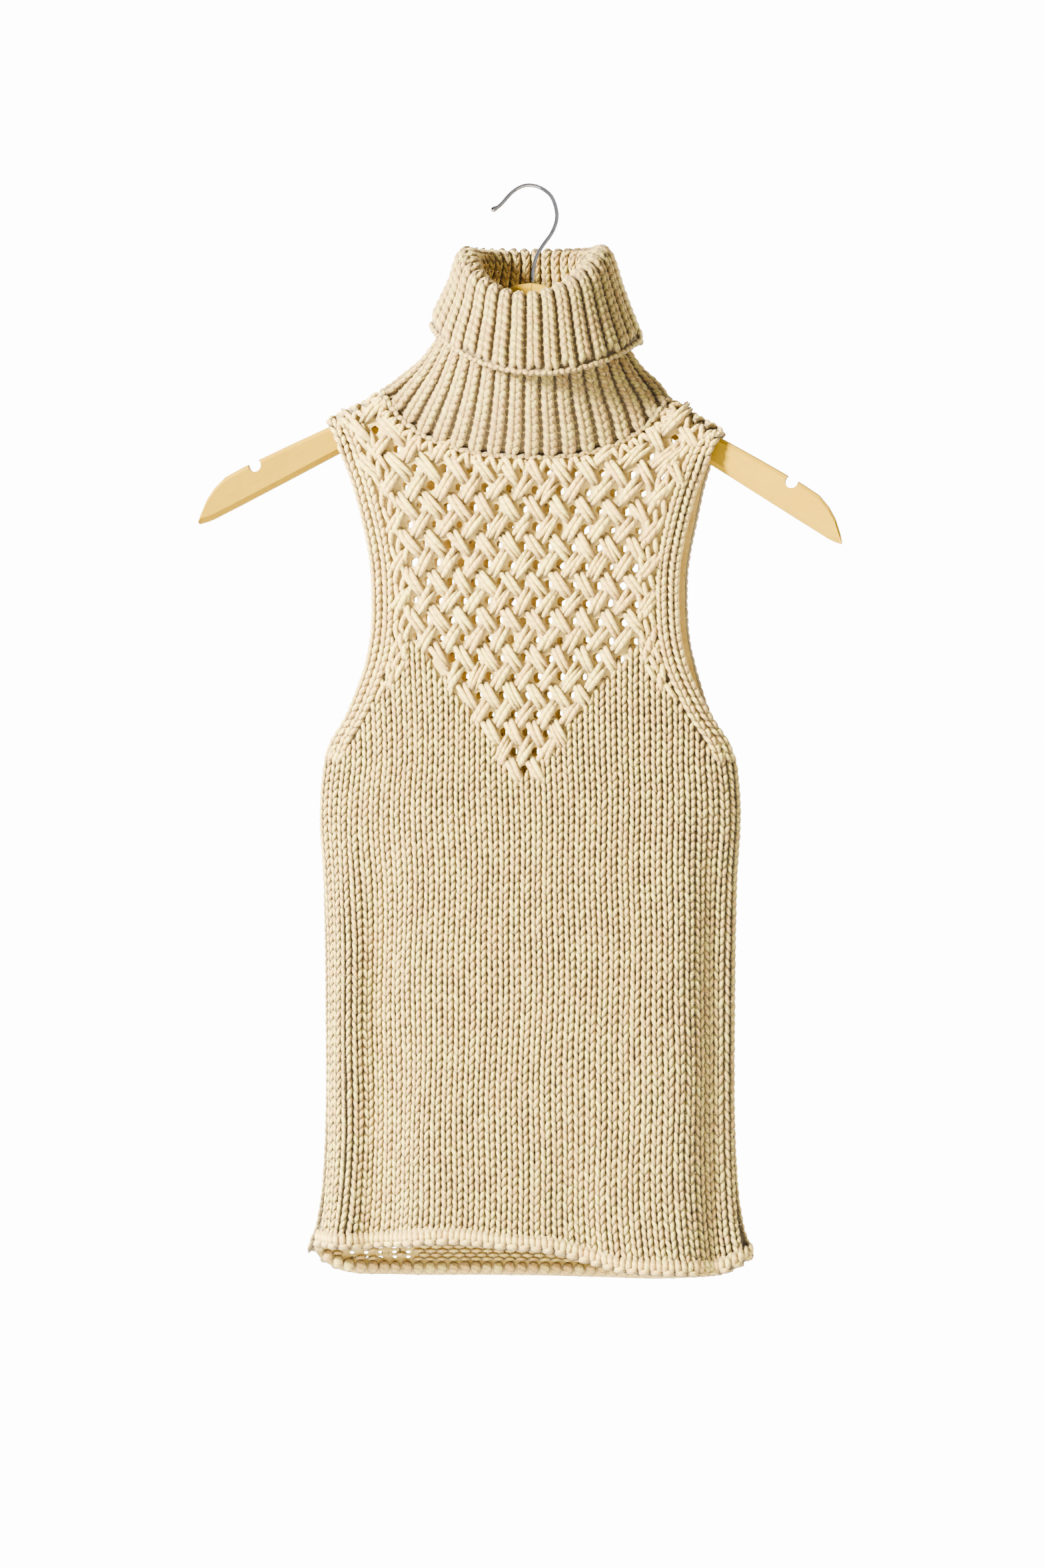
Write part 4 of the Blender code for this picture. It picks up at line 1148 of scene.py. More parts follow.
def row_curve(z, side):
    """Flat places across one height and their distance from the middle, over the cloth."""
    x = float(half_width(z, side)) * np.sin(np.linspace(-math.pi / 2.0, math.pi / 2.0, ROW_POINTS))
    points = place(x, np.full(len(x), z), side)
    steps = np.hypot(np.diff(x), np.diff(points[:, 1]))
    far = np.concatenate([[0.0], np.cumsum(steps)])
    return x, far - np.interp(0.0, x, far)


def frames(points, x, z, side):
    """Out, up and across at stitches laid in rows (first axis) and columns (second axis)."""
    out = facing(x, z, side)
    up = unit(np.gradient(points, axis=0))
    up = unit(up - out * np.sum(up * out, axis=-1, keepdims=True))
    return out, up, np.cross(up, out)


def leaning(up, across, lean):
    """The way of legs that lean to one side (lean 1) or the other (lean -1)."""
    return unit(up * math.cos(LEG_LEAN) + across * (math.sin(LEG_LEAN) * np.asarray(lean)[..., None]))


print("chest is", round(2.0 * float(row_curve(UNDERARM_Z, "front")[1][-1])), "mm over the cloth")

# %% Wales and courses
WALES = 39
COURSE = 5.9
LEG_PITCH = 4.0
LEG_LIFT = 1.0
LIFT_VARIES = 0.15
LEG_WIDE = (0.75, 1.25)
LEG_LONG = (0.8, 1.25)
HEM_BAND = 12.0
HEM_FADE = 200.0
HIGHEST_HEM = -737.0
PLAIN_TOP = -300.0
EVEN_TOP = UNDERARM_Z - 14.0
WAVER = 0.9
WAVER_CALM = (4.0, 40.0)
WALE_SHIFT = 1.5
V_OVERLAP = 1.0
ROPES_WIDE = 15.5
LOOSE_CLEAR = 2.3
# columns: share, length of the wave down the body and across it
WAVES = ((1.0, 47.0, 61.0), (0.6, 19.0, -33.0))
rng = np.random.default_rng(11)


def wavering(x, z):
    """A gentle wander of the wales, in long waves."""
    return sum(share * np.sin(z / down + x / across) for share, down, across in WAVES)


def plain_knit(side):
    """Every leg of the plain knit: places, out, way, size and height."""
    legs = 2 * WALES
    rise = np.arange(0.0, PLAIN_TOP - HIGHEST_HEM, COURSE)
    level = HIGHEST_HEM + HEM_BAND + rise
    share = (np.arange(legs) + 0.5) / legs * 2.0 - 1.0
    x = np.empty((len(level), legs))
    for j, z in enumerate(level):
        row_x, far = row_curve(min(z, EVEN_TOP), side)
        reach = far[-1]
        if z > EVEN_TOP:
            row_x, far = row_curve(z, side)
        x[j] = np.interp(share * reach, far, row_x)
    fade = (1.0 - ease(rise, 0.0, HEM_FADE))[:, None]
    z = level[:, None] + (along(HEM[side], x) - HIGHEST_HEM) * fade
    x = x + WAVER * wavering(x, z) * ease(half_width(z, side) - np.abs(x), *WAVER_CALM)
    z = z + np.repeat(rng.uniform(-WALE_SHIFT, WALE_SHIFT, WALES), 2)
    points = place(x, z, side)
    out, up, across = frames(points, x, z, side)
    lean = np.where(np.arange(legs) % 2 == 0, -1.0, 1.0) * np.ones_like(x)
    if side == "back":
        lean = -lean
    way = leaning(up, across, lean)
    width = np.linalg.norm(np.gradient(points, axis=1), axis=-1) / LEG_PITCH
    stretch = np.linalg.norm(np.gradient(points, axis=0), axis=-1) / COURSE
    size = np.stack([np.clip(width, *LEG_WIDE), np.clip(stretch, *LEG_LONG), np.ones_like(width)], axis=-1)
    keep = (z < TIP_Z + np.abs(x) * V_SLOPE + V_OVERLAP) | (np.abs(x) > along(SIDE, z) - EDGE_WALES)
    keep &= (z < UNDERARM_Z) | (np.abs(x) < half_width(z, side) - ROPES_WIDE)
    if side == "back":
        keep &= ~by_loose_stitch(x, z, LOOSE_CLEAR)
    points = points + out * (LEG_LIFT + rng.uniform(-LIFT_VARIES, LIFT_VARIES, z.shape))[..., None]
    return [a[keep] for a in (points, out, way, size, z)]


print("wales", WALES, "in each panel")

# %% Lay the plain knit
PIECE_SPLIT = -565.0
knit_pieces = {"front": [], "back": []}
for side in ("front", "back"):
    points, out, way, size, height = plain_knit(side)
    for part, seed, chosen in (("lower", 3, height < PIECE_SPLIT), ("upper", 4, height >= PIECE_SPLIT)):
        field = [values[chosen] for values in (points, out, way, size)]
        piece = lay_stitches(f"{side}_{part}_knit", *field, leg, body_yarn, seed, size_jitter=0.08,
                             turn_jitter=0.1)
        knit_pieces[side].append(piece)

# %% [markdown]
# ## Rope edges at the armholes
#
# The first two wales inside each armhole stand up like ropes, because nothing pulls them sideways. They
# are legs too, but they follow the armhole and not the columns of the body, so they have a field of
# their own.

# %% Armhole edges
ROPE_INSETS = (2.2, 6.2, 10.6, 14.6)
ROPE_LEAN = (1.0, -1.0, 1.0, -1.0)
ROPE_BOTTOM = -398.0
ROPE_TOP = -171.0
ROPE_COURSE = COURSE * 0.96
ROPE_LEG = (1.12, 1.0, 1.15)
ROPE_LIFT = LEG_LIFT + 0.5
ROPE_CLEAR = 1.0


def rope_edges(side):
    """Four columns of legs along each armhole of a panel."""
    level = even_steps(ROPE_BOTTOM, ROPE_TOP, ROPE_COURSE)
    groups = []
    for hand in (-1.0, 1.0):
        x = np.empty((len(level), len(ROPE_INSETS)))
        for j, z in enumerate(level):
            row_x, far = row_curve(z, side)
            x[j] = np.interp(hand * (far[-1] - np.array(ROPE_INSETS)), far, row_x)
        z = level[:, None] * np.ones_like(x)
        points = place(x, z, side)
        out, up, across = frames(points, x, z, side)
        outward = hand if side == "front" else -hand
        way = leaning(up, across, outward * np.array(ROPE_LEAN) * np.ones_like(x))
        size = np.ones(x.shape + (3,)) * ROPE_LEG
        keep = z < shoulder_line(x) - ROPE_CLEAR
        groups.append([a[keep] for a in (points + out * ROPE_LIFT, out, way, size)])
    return joined(groups)


for side in ("front", "back"):
    piece = lay_stitches(side + "_armhole_edges", *rope_edges(side), leg, lattice_yarn, seed=5)
    knit_pieces[side].append(piece)

# %% [markdown]
# ## Side seams
#
# The front and the back are joined at the sides. One more column of legs stands on the seam and faces
# sideways, so that no slit shows between the two panels.

# %% Seam legs
SEAM_LOW = -742.0
SEAM_HIGH = -394.0
SEAM_LIFT = 0.4
SEAM_LEG = (1.5, 1.1, 1.0)


def side_seams():
    """One column of legs on each side seam."""
    groups = []
    z = np.arange(SEAM_LOW, SEAM_HIGH, COURSE)
    for hand in (-1.0, 1.0):
        x = hand * half_width(z, "front")
        points = 0.5 * (place(x, z, "front") + place(x, z, "back"))
        way = unit(np.gradient(points, axis=0))
        out = np.zeros_like(points) + (hand, 0.0, 0.0)
        out = unit(out - way * np.sum(out * way, axis=1, keepdims=True))
        groups.append((points + out * SEAM_LIFT, out, way, np.broadcast_to(SEAM_LEG, points.shape)))
    return joined(groups)


seams = lay_stitches("side_seams", *side_seams(), leg, body_yarn, seed=6, turn_jitter=0.1)
knit_pieces["front"].append(seams)

# %% [markdown]
# ## Lattice bars
#
# Each bar is two long strands side by side, now and then three. It rises in its middle and dives under
# its neighbours at both ends, which is what makes the yoke look woven. A strand needs only its two flat
# ends, so one helper lays them all, and the strands fan out with the lattice.

# %% A strand between two places
BAR_LIFT = 3.0
bar_rng = np.random.default_rng(23)


def strands_between(side, low, high, lift, wide):
    """Strands that span the flat places low and high, stood off the cloth by lift."""
    low, high = np.asarray(low, float), np.asarray(high, float)
    foot, head = place(low[:, 0], low[:, 1], side), place(high[:, 0], high[:, 1], side)
    middle = 0.5 * (low + high)
    way = unit(head - foot)
    out = facing(middle[:, 0], middle[:, 1], side)
    out = unit(out - way * np.sum(out * way, axis=1, keepdims=True))
    span = np.linalg.norm(head - foot, axis=1)
    points = place(middle[:, 0], middle[:, 1], side) + out * np.broadcast_to(lift, len(low))[:, None]
    size = np.stack([wide * np.ones(len(low)), span / STRAND_LENGTH, np.ones(len(low))], axis=1)
    return points, out, way, size


print("strands stand", BAR_LIFT, "mm off the cloth")

# %% Lattice bars
BAR_REACH = 0.86
STRAND_APART = 3.6
FOOT_APART = 0.8
HEAD_APART = 1.05
THREE_SHARE = 0.16
THREE_WIDTH = 0.8
STRAND_SLIP = 2.2
STRAND_SPREAD = 1.5
STRAND_GROW = (0.93, 1.1)
STRAND_LIFT_VARIES = 0.35


def lattice_bars(side):
    """Every woven bar of the yoke, two or three strands to a bar."""
    squares = lattice_squares(side, 1, BAR_MARGIN)
    column, row = squares[:, 0], squares[:, 1]
    turn = np.where(row % 2 == 1, 1.0, -1.0)
    low, high = [np.stack(lattice_place(column + turn * h * BAR_REACH, row - h * BAR_REACH, side), axis=1)
                 for h in (-1.0, 1.0)]
    groups = []
    for foot, head in zip(low, high):
        several = 3 if bar_rng.random() < THREE_SHARE else 2
        wide = THREE_WIDTH if several == 3 else 1.0
        line = (head - foot) / np.linalg.norm(head - foot)
        across = np.array([line[1], -line[0]])
        for n in range(several):
            aside = across * (n - (several - 1) / 2.0) * STRAND_APART * wide
            slip = line * bar_rng.uniform(-STRAND_SLIP, STRAND_SLIP)
            spread = across * bar_rng.uniform(-STRAND_SPREAD, STRAND_SPREAD)
            grow = wide * bar_rng.uniform(*STRAND_GROW)
            low_end = foot + aside * FOOT_APART + slip - spread
            high_end = head + aside * HEAD_APART + slip + spread
            lift = BAR_LIFT + bar_rng.uniform(-STRAND_LIFT_VARIES, STRAND_LIFT_VARIES)
            groups.append(strands_between(side, [low_end], [high_end], lift, grow))
    return joined(groups)


print("three strands in", THREE_SHARE, "of the bars")

# %% Side strands
SIDE_STRAND_INSETS = (18.5, 22.5, 26.5)
SIDE_STRAND_LOW = -352.0
SIDE_STRAND_HIGH = -172.0
SIDE_STRAND_STAGGER = 6.5
SIDE_STRAND_HALF = 9.5
SIDE_STRAND_LEAN = 2.6
SIDE_STRAND_LIFT = BAR_LIFT - 0.7
SIDE_STRAND_WIDE = 0.92
SHOULDER_CLEAR = 3.0


def side_strands(side):
    """Long steep strands that fill the yoke between the lattice and the ropes of the armholes."""
    groups = []
    for hand in (-1.0, 1.0):
        for n, inset in enumerate(SIDE_STRAND_INSETS):
            start = SIDE_STRAND_LOW + SIDE_STRAND_STAGGER * n
            for k, z in enumerate(np.arange(start, SIDE_STRAND_HIGH, ROW)):
                lean = hand * (SIDE_STRAND_LEAN if (k + n) % 2 else -SIDE_STRAND_LEAN)
                foot, head = [
                    (hand * (float(half_width(z + end * SIDE_STRAND_HALF, side)) - inset) + lean * end,
                     z + end * SIDE_STRAND_HALF)
                    for end in (-1.0, 1.0)]
                if head[1] < shoulder_line(head[0]) - SHOULDER_CLEAR:
                    strands = strands_between(side, [foot], [head], SIDE_STRAND_LIFT, SIDE_STRAND_WIDE)
                    groups.append(strands)
    return joined(groups)


print("columns of side strands", len(SIDE_STRAND_INSETS))

# %% Border strands
BORDER_STEP = 5.4
BORDER_ROUND = 112.0
BORDER_TURN = 1.5
BORDER_FROM = NECK_HALF + 4.0
BORDER_TO = SHOULDER_TIP - 6.0
BORDER_LEAN = (2.0, 4.6)
BORDER_TOP = 1.5
BORDER_BOTTOM = (13.0, 17.0)
BORDER_LIFT = BAR_LIFT - 0.9
BORDER_OVER = 0.5
BORDER_WIDE = 0.9


def border_strands(side):
    """Short strands that close the yoke against the seams of the neck and the shoulders."""
    groups = []
    angle = even_steps(-BORDER_TURN, BORDER_TURN, BORDER_STEP / BORDER_ROUND)
    tip = even_steps(BORDER_FROM, BORDER_TO, BORDER_STEP)
    for line, xs in ((neck_line, NECK_HALF * np.sin(angle)), (shoulder_line, tip), (shoulder_line, -tip)):
        for k, x in enumerate(xs):
            height = [float(line(x + s, side) if line is neck_line else line(x + s)) for s in (-0.5, 0.5)]
            tangent = np.array([1.0, height[1] - height[0]])
            tangent /= np.linalg.norm(tangent)
            inward = np.array([tangent[1], -tangent[0]])
            start = np.array([x, 0.5 * (height[0] + height[1])])
            lean = (1.0 if k % 2 else -1.0) * bar_rng.uniform(*BORDER_LEAN)
            high = start + inward * BORDER_TOP - tangent * lean
            low = start + inward * bar_rng.uniform(*BORDER_BOTTOM) + tangent * lean
            lift = BORDER_LIFT + (BORDER_OVER if k % 2 else 0.0)
            groups.append(strands_between(side, [low], [high], lift, BORDER_WIDE))
    return joined(groups)


print("border strands every", BORDER_STEP, "mm")

# %% Shoulder wraps
WRAP_STEP = 4.3
WRAP_FROM = NECK_HALF + 3.0
WRAP_TO = SHOULDER_TIP - 4.0
WRAP_SWING = 0.35
WRAP_SWING_VARIES = 0.12
WRAP_LIFT = 0.9
WRAP_STRAND = (0.98, 1.05, 1.0)


def shoulder_wraps():
    """Strands that lie over the shoulder seams, from the front to the back."""
    xs = even_steps(WRAP_FROM, WRAP_TO, WRAP_STEP)
    xs = np.concatenate([-xs[::-1], xs])
    top = shoulder_line(xs)
    points = 0.5 * (place(xs, top, "front") + place(xs, top, "back"))
    before, after = [place(xs + s, shoulder_line(xs + s), "front") for s in (-0.5, 0.5)]
    along_seam = unit(after - before)
    swing = np.where(np.arange(len(xs)) % 2 == 0, WRAP_SWING, -WRAP_SWING)
    swing = swing + bar_rng.uniform(-WRAP_SWING_VARIES, WRAP_SWING_VARIES, len(xs))
    back_way = np.zeros((len(xs), 3)) + (0.0, 1.0, 0.0)
    way = unit(back_way + along_seam * swing[:, None])
    out = unit(np.cross(along_seam, back_way))
    out = unit(out - way * np.sum(out * way, axis=1, keepdims=True))
    return points + out * WRAP_LIFT, out, way, np.broadcast_to(WRAP_STRAND, (len(xs), 3))


for side in ("front", "back"):
    for part, strands_of in (("lattice", lattice_bars), ("side_strands", side_strands),
                             ("border_strands", border_strands)):
        laid = strands_of(side)
        knit_pieces[side].append(lay_stitches(f"{side}_{part}", *laid, strand, lattice_yarn, seed=7,
                                              turn_jitter=0.04))
knit_pieces["front"].append(lay_stitches("shoulder_wraps", *shoulder_wraps(), strand, lattice_yarn, seed=8))

# %% [markdown]
# ## The rolled hem
#
# At the bottom the knitting ends in a firm band of short upright puffs, one for each leg above it, and
# under them the edge curls in. Plain knit shows rows of purl bumps inside, and the inside of the back
# can be seen where the front's hem is drawn up, with wide soft puffs along its edge.

# %% Hem band
# columns: puffs to a wale, height above the edge, lift off the cloth, lean of its top inwards, grain size
HEM_PUFFS = (
    (2, 7.0, 1.9, 0.0, (0.98, 1.12, 1.0)),
    (1, 2.4, 1.7, 0.3, (1.62, 0.56, 1.0)),
)
INNER_PUFFS = (
    (1, 5.2, -3.6, 0.0, (1.5, 1.0, 1.0)),
)


def hem_places(side, count, above):
    """Flat places evenly spread along the hem, over the cloth, at one height above its edge."""
    share = (np.arange(count) + 0.5) / count * 2.0 - 1.0
    first = share * SIDE[0][1]
    x = np.empty(count)
    for i, z in enumerate(along(HEM[side], first) + above):
        row_x, far = row_curve(float(z), side)
        x[i] = np.interp(share[i] * far[-1], far, row_x)
    return x, along(HEM[side], x) + above


def hem_band(side, rows):
    """The puffs of one side of the hem; a negative lift puts them inside."""
    groups = []
    for number, above, lift, lean, grow in rows:
        x, z = hem_places(side, number * WALES, above)
        points = place(x, z, side)
        out = facing(x, z, side)
        up = unit(place(x, z + 1.0, side) - points)
        way = unit(up - out * lean)
        outward = unit(out + up * lean) * (1.0 if lift > 0.0 else -1.0)
        groups.append((points + out * lift, outward, way, np.broadcast_to(grow, points.shape)))
    return joined(groups)


print("puffs to a wale", [row[0] for row in HEM_PUFFS + INNER_PUFFS])

# %% Purl bumps inside
PURL_ROWS = 14
PURL_STEP = COURSE / 2.0
PURL_START = 11.5
PURL_DEPTH = -2.3
PURL_LONG = 1.15
PURL_EDGE = 3.0
PURL_CLEAR = 3.6


def purl_inside(side):
    """The purl bumps that line the inside of a panel above its hem."""
    groups = []
    for row in range(PURL_ROWS):
        x, z = hem_places(side, WALES, PURL_START + row * PURL_STEP)
        gap = np.gradient(x)
        x = x + (0.5 * gap if row % 2 else 0.0)
        inside = np.abs(x) < half_width(z, side) - PURL_EDGE
        if side == "back":
            inside &= ~by_loose_stitch(x, z, PURL_CLEAR)
        x, z, gap = x[inside], z[inside], gap[inside]
        points = place(x, z, side)
        out = facing(x, z, side)
        up = unit(place(x, z + 1.0, side) - points)
        size = np.stack([np.ones(len(x)), PURL_LONG * gap / BUMP_LENGTH, np.ones(len(x))], axis=1)
        groups.append((points + out * PURL_DEPTH, -out, np.cross(up, out), size))
    return joined(groups)


for side in ("front", "back"):
    outer, inner = hem_band(side, HEM_PUFFS), hem_band(side, INNER_PUFFS)
    knit_pieces[side] += [
        lay_stitches(side + "_hem", *outer, puff, lattice_yarn, seed=9, size_jitter=0.08, turn_jitter=0.16),
        lay_stitches(side + "_hem_inside", *inner, puff, lattice_yarn, seed=10, size_jitter=0.08),
        lay_stitches(side + "_purl_inside", *purl_inside(side), bump, lattice_yarn, seed=12),
    ]

# %% [markdown]
# ## The turned-down neck
#
# The neck is one tube of rings: it rises from the neck seam, narrows, folds over at the top and comes
# down again, wider. Rings given by a few sizes, with smooth curves along each rib, describe the fold
# better than a bent cylinder would. The first ring is the seam that the panels share.

# %% Rings of the neck
RIBS = 36
RIB_STEPS = 3
STEP_COLUMNS = 4
COLLAR_COLUMNS = RIBS * RIB_STEPS * STEP_COLUMNS
RIM_GAP = 0.3
RING_POINTS = 1441
RIM_HEIGHT_POWER = 1.5
RIM_REACH_POWER = 0.9
# columns: half width, reach to the front and back, heights at the side, front and back, centre, fall
COLLAR = (
    (88.0, 34.0, 30.0, -136.5, -174.0, -142.0, 0.5, 0.040),
    (74.0, 41.0, 36.0, -124.5, -157.0, -129.0, 1.5, 0.045),
    (62.0, 46.0, 42.0, -107.0, -139.0, -111.0, 2.5, 0.055),
    (54.0, 47.0, 44.0, -88.0, -120.0, -90.0, 3.0, 0.050),
    (47.0, 44.0, 43.0, -66.0, -101.0, -65.0, 3.5, 0.030),
    (42.0, 41.0, 41.0, -51.0, -88.0, -48.0, 3.5, 0.010),
    (47.0, 46.0, 46.0, -45.5, -82.5, -42.5, 3.5, 0.000),
    (52.0, 51.0, 51.0, -51.0, -87.0, -47.0, 4.0, 0.010),
    (57.0, 54.5, 54.0, -67.0, -102.0, -62.0, 4.5, 0.035),
    (65.0, 57.5, 56.5, -86.0, -120.0, -80.0, 4.5, 0.070),
    (72.0, 59.5, 58.5, -102.0, -135.0, -97.0, 5.0, 0.095),
)
print("rings", len(COLLAR) + 1)

# %% Curves of the neck
ROWS_PER_RING = 6


def even_ring(points, count):
    """Points at even distances within each quarter of a closed curve."""
    far = np.concatenate([[0.0], np.cumsum(np.linalg.norm(np.diff(points, axis=0), axis=1))])
    steps = len(points) - 1
    goals = []
    for quarter in range(4):
        start, end = far[quarter * steps // 4], far[(quarter + 1) * steps // 4]
        goals.append(np.linspace(start, end, count // 4 + 1)[:-1])
    goals = np.concatenate(goals)
    return np.stack([np.interp(goals, far, points[:, axis]) for axis in range(3)], axis=1)


def collar_rings(count):
    """The seam ring and every ring of the table, each as evenly spaced points."""
    angle = np.linspace(0.0, 2.0 * math.pi, RING_POINTS)
    x = NECK_HALF * np.sin(angle)
    front = place(x, np.minimum(neck_line(x, "front"), shoulder_line(x)), "front")
    back = place(x, np.minimum(neck_line(x, "back"), shoulder_line(x)), "back")
    seam = np.where((np.cos(angle) < 0.0)[:, None], back, front)
    rings = [even_ring(seam, count)]
    for half, front_reach, back_reach, side_z, front_z, back_z, centre, fall in COLLAR:
        x = centre + half * np.sin(angle)
        c = np.cos(angle)
        reach = np.where(c > 0.0, front_reach, back_reach)
        far_z = np.where(c > 0.0, front_z, back_z)
        z = side_z + (far_z - side_z) * np.abs(c) ** RIM_HEIGHT_POWER - fall * (x - centre)
        y = -np.copysign(reach * np.abs(c) ** RIM_REACH_POWER, c)
        rings.append(even_ring(np.stack([x, y, z], axis=1), count))
    rings = np.array(rings)
    rings[0] += unit(rings[1] - rings[0]) * RIM_GAP
    return rings


def smooth_rows(rings, steps):
    """Smooth curves through the rings, along every column; returns rows and their ring numbers."""
    last = len(rings) - 1
    rows, numbers = [], []
    for i in range(last):
        p0, p1 = rings[max(i - 1, 0)], rings[i]
        p2, p3 = rings[i + 1], rings[min(i + 2, last)]
        for n in range(steps):
            t = n / steps
            rows.append(0.5 * (2.0 * p1 + (p2 - p0) * t + (2.0 * p0 - 5.0 * p1 + 4.0 * p2 - p3) * t ** 2
                               + (3.0 * p1 - p0 - 3.0 * p2 + p3) * t ** 3))
            numbers.append(i + t)
    rows.append(rings[last])
    numbers.append(float(last))
    return np.array(rows), np.array(numbers)


collar_rows, collar_numbers = smooth_rows(collar_rings(COLLAR_COLUMNS), ROWS_PER_RING)
round_way = np.roll(collar_rows, -1, axis=1) - np.roll(collar_rows, 1, axis=1)
up_way = np.gradient(collar_rows, axis=0)
collar_out = unit(np.cross(round_way, up_way))
middle_row = collar_rows[len(collar_rows) // 2]
around = np.linalg.norm(np.diff(middle_row, axis=0), axis=1).sum()
print("neck rows", collar_rows.shape, "round its middle", round(float(around)), "mm")

# %% Neck ground
NECK_THICK = 1.8
GROUND_SKIP = 3


def collar_ground():
    """The neck's thin cloth, on every third column of its curves."""
    rows, columns = collar_rows[:, ::GROUND_SKIP], COLLAR_COLUMNS // GROUND_SKIP
    count = len(rows)
    verts = rows.reshape(-1, 3) * MM
    faces = []
    for r in range(count - 1):
        for k in range(columns):
            n = (k + 1) % columns
            faces.append((r * columns + k, r * columns + n, (r + 1) * columns + n, (r + 1) * columns + k))
    mesh = bpy.data.meshes.new("neck_ground")
    mesh.from_pydata([tuple(v) for v in verts], [], faces)
    # the rib ground is painted almost wholly shade, the dark between the ribs
    mesh.materials.append(rib_ground_yarn)
    made = bpy.data.objects.new("neck_ground", mesh)
    bpy.context.scene.collection.objects.link(made)
    return thicken(made, NECK_THICK)


neck_ground = collar_ground()

# %% [markdown]
# ## Ribs
#
# A rib is a wale that stands proud with a sunken column beside it. Its legs are larger than those of the
# body, and the sunken column shows only small cross bumps. Each rib is walked along its own smooth
# curve in even steps, outside on the standing neck, and inside, over the crest and down the outside of
# the fold.

# %% Walk along a rib
RIB_COURSE = 5.7
WALK_REACH = 0.8


def walk(column, low, high, skin, shift):
    """Even steps along one column of the neck between two rings; column is in rib steps."""
    k = (column * STEP_COLUMNS) % COLLAR_COLUMNS
    a, share = int(math.floor(k)), k - math.floor(k)
    b = (a + 1) % COLLAR_COLUMNS
    line = collar_rows[:, a] * (1.0 - share) + collar_rows[:, b] * share
    out = unit(collar_out[:, a] * (1.0 - share) + collar_out[:, b] * share) * skin
    line = line + out * shift
    far = np.concatenate([[0.0], np.cumsum(np.linalg.norm(np.diff(line, axis=0), axis=1))])
    start, end = np.interp([low, high], collar_numbers, far)
    goals = start + RIB_COURSE * (np.arange(int((end - start) / RIB_COURSE)) + 0.5)

    def read(values, where):
        return np.stack([np.interp(where, far, values[:, axis]) for axis in range(3)], axis=1)

    points = read(line, goals)
    up = unit(read(line, goals + WALK_REACH) - read(line, goals - WALK_REACH))
    facing_out = read(out, goals)
    facing_out = unit(facing_out - up * np.sum(facing_out * up, axis=1, keepdims=True))
    pitch = np.interp(goals, far, 2.0 * RIB_STEPS * np.linalg.norm(round_way[:, a], axis=1))
    return points, facing_out, up, pitch


print("one rib's courses", len(walk(0.0, 0.0, len(COLLAR), 1.0, 0.0)[0]))

# %% Rib stitches
RIB_MIDDLE = 1.5
RIB_LEG_STEP = 0.56
RIB_LEG_WIDE = 1.22
RIB_LEG_LONG = 1.22
RIB_LEG_DEEP = 1.15
RIB_LEG_OUT = 2.1
RIB_PITCH = 8.5
RIB_WIDENS = (0.85, 1.4)
RIB_BUMP = (1.0, 0.95, 1.0)
RIB_BUMP_OUT = -0.1
# columns: name, first and last ring, skin (1 is the outside of the standing tube, -1 the other skin)
RIB_FIELDS = (
    ("neck_rib", 0.1, 4.4, 1.0),
    ("fold_rib", 2.6, 10.9, -1.0),
)


def rib_field(low, high, skin):
    """Legs of the ribs and the bumps between them, on one skin of the tube."""
    legs, bumps = [], []
    for rib in range(RIBS):
        for lean in (-1.0, 1.0):
            column = rib * RIB_STEPS + RIB_MIDDLE + lean * RIB_LEG_STEP
            points, out, up, pitch = walk(column, low, high, skin, RIB_LEG_OUT)
            across = np.cross(up, out)
            way = leaning(up, across, np.full(len(points), lean * skin))
            wide = np.clip(pitch / RIB_PITCH, *RIB_WIDENS) * RIB_LEG_WIDE
            even = np.ones_like(wide)
            size = np.stack([wide, RIB_LEG_LONG * even, RIB_LEG_DEEP * even], axis=1)
            legs.append((points, out, way, size))
        points, out, up, _ = walk(rib * RIB_STEPS, low, high, skin, RIB_BUMP_OUT)
        bumps.append((points, out, np.cross(up, out), np.broadcast_to(RIB_BUMP, points.shape)))
    return joined(legs), joined(bumps)


neck_pieces = []
for name, low, high, skin in RIB_FIELDS:
    standing, sunken = rib_field(low, high, skin)
    neck_pieces.append(lay_stitches(name + "_legs", *standing, leg, rib_yarn, seed=13))
    # the sunken bumps take the darker yarn: painted shade
    neck_pieces.append(lay_stitches(name + "_bumps", *sunken, bump, shaded_sunken_yarn, seed=14))

# %% [markdown]
# ## Chains at the seam and the edge
#
# Where the neck is joined to the yoke, and where its last row was cast off, the yarn lies across the ribs
# in a thin chain. Small bumps that turn a little to one side and the other, one after another along a
# ring of the neck, give it.

# %% Neck chains
CHAIN_STEP = 4.1
CHAIN_SWING = 0.38
CHAIN_LINK = (1.25, 1.15, 1.2)


def chain(row, skin, rise, drop):
    """Bumps along one ring of the neck, stood off its skin by rise and moved down by drop."""
    line = collar_rows[row]
    loop = np.concatenate([line, line[:1]])
    far = np.concatenate([[0.0], np.cumsum(np.linalg.norm(np.diff(loop, axis=0), axis=1))])
    goals = np.linspace(0.0, far[-1], int(far[-1] / CHAIN_STEP) // 2 * 2 + 1)[:-1]

    def read(values):
        values = np.concatenate([values, values[:1]])
        return np.stack([np.interp(goals, far, values[:, axis]) for axis in range(3)], axis=1)

    points, out, round_on, up = (read(v[row]) for v in (collar_rows, collar_out * skin, round_way, up_way))
    round_on, up = unit(round_on), unit(up)
    out = unit(out - round_on * np.sum(out * round_on, axis=1, keepdims=True))
    swing = np.where(np.arange(len(goals)) % 2 == 0, CHAIN_SWING, -CHAIN_SWING)[:, None]
    way = unit(round_on + up * swing)
    return points + out * rise - up * drop * skin, out, way, np.broadcast_to(CHAIN_LINK, points.shape)


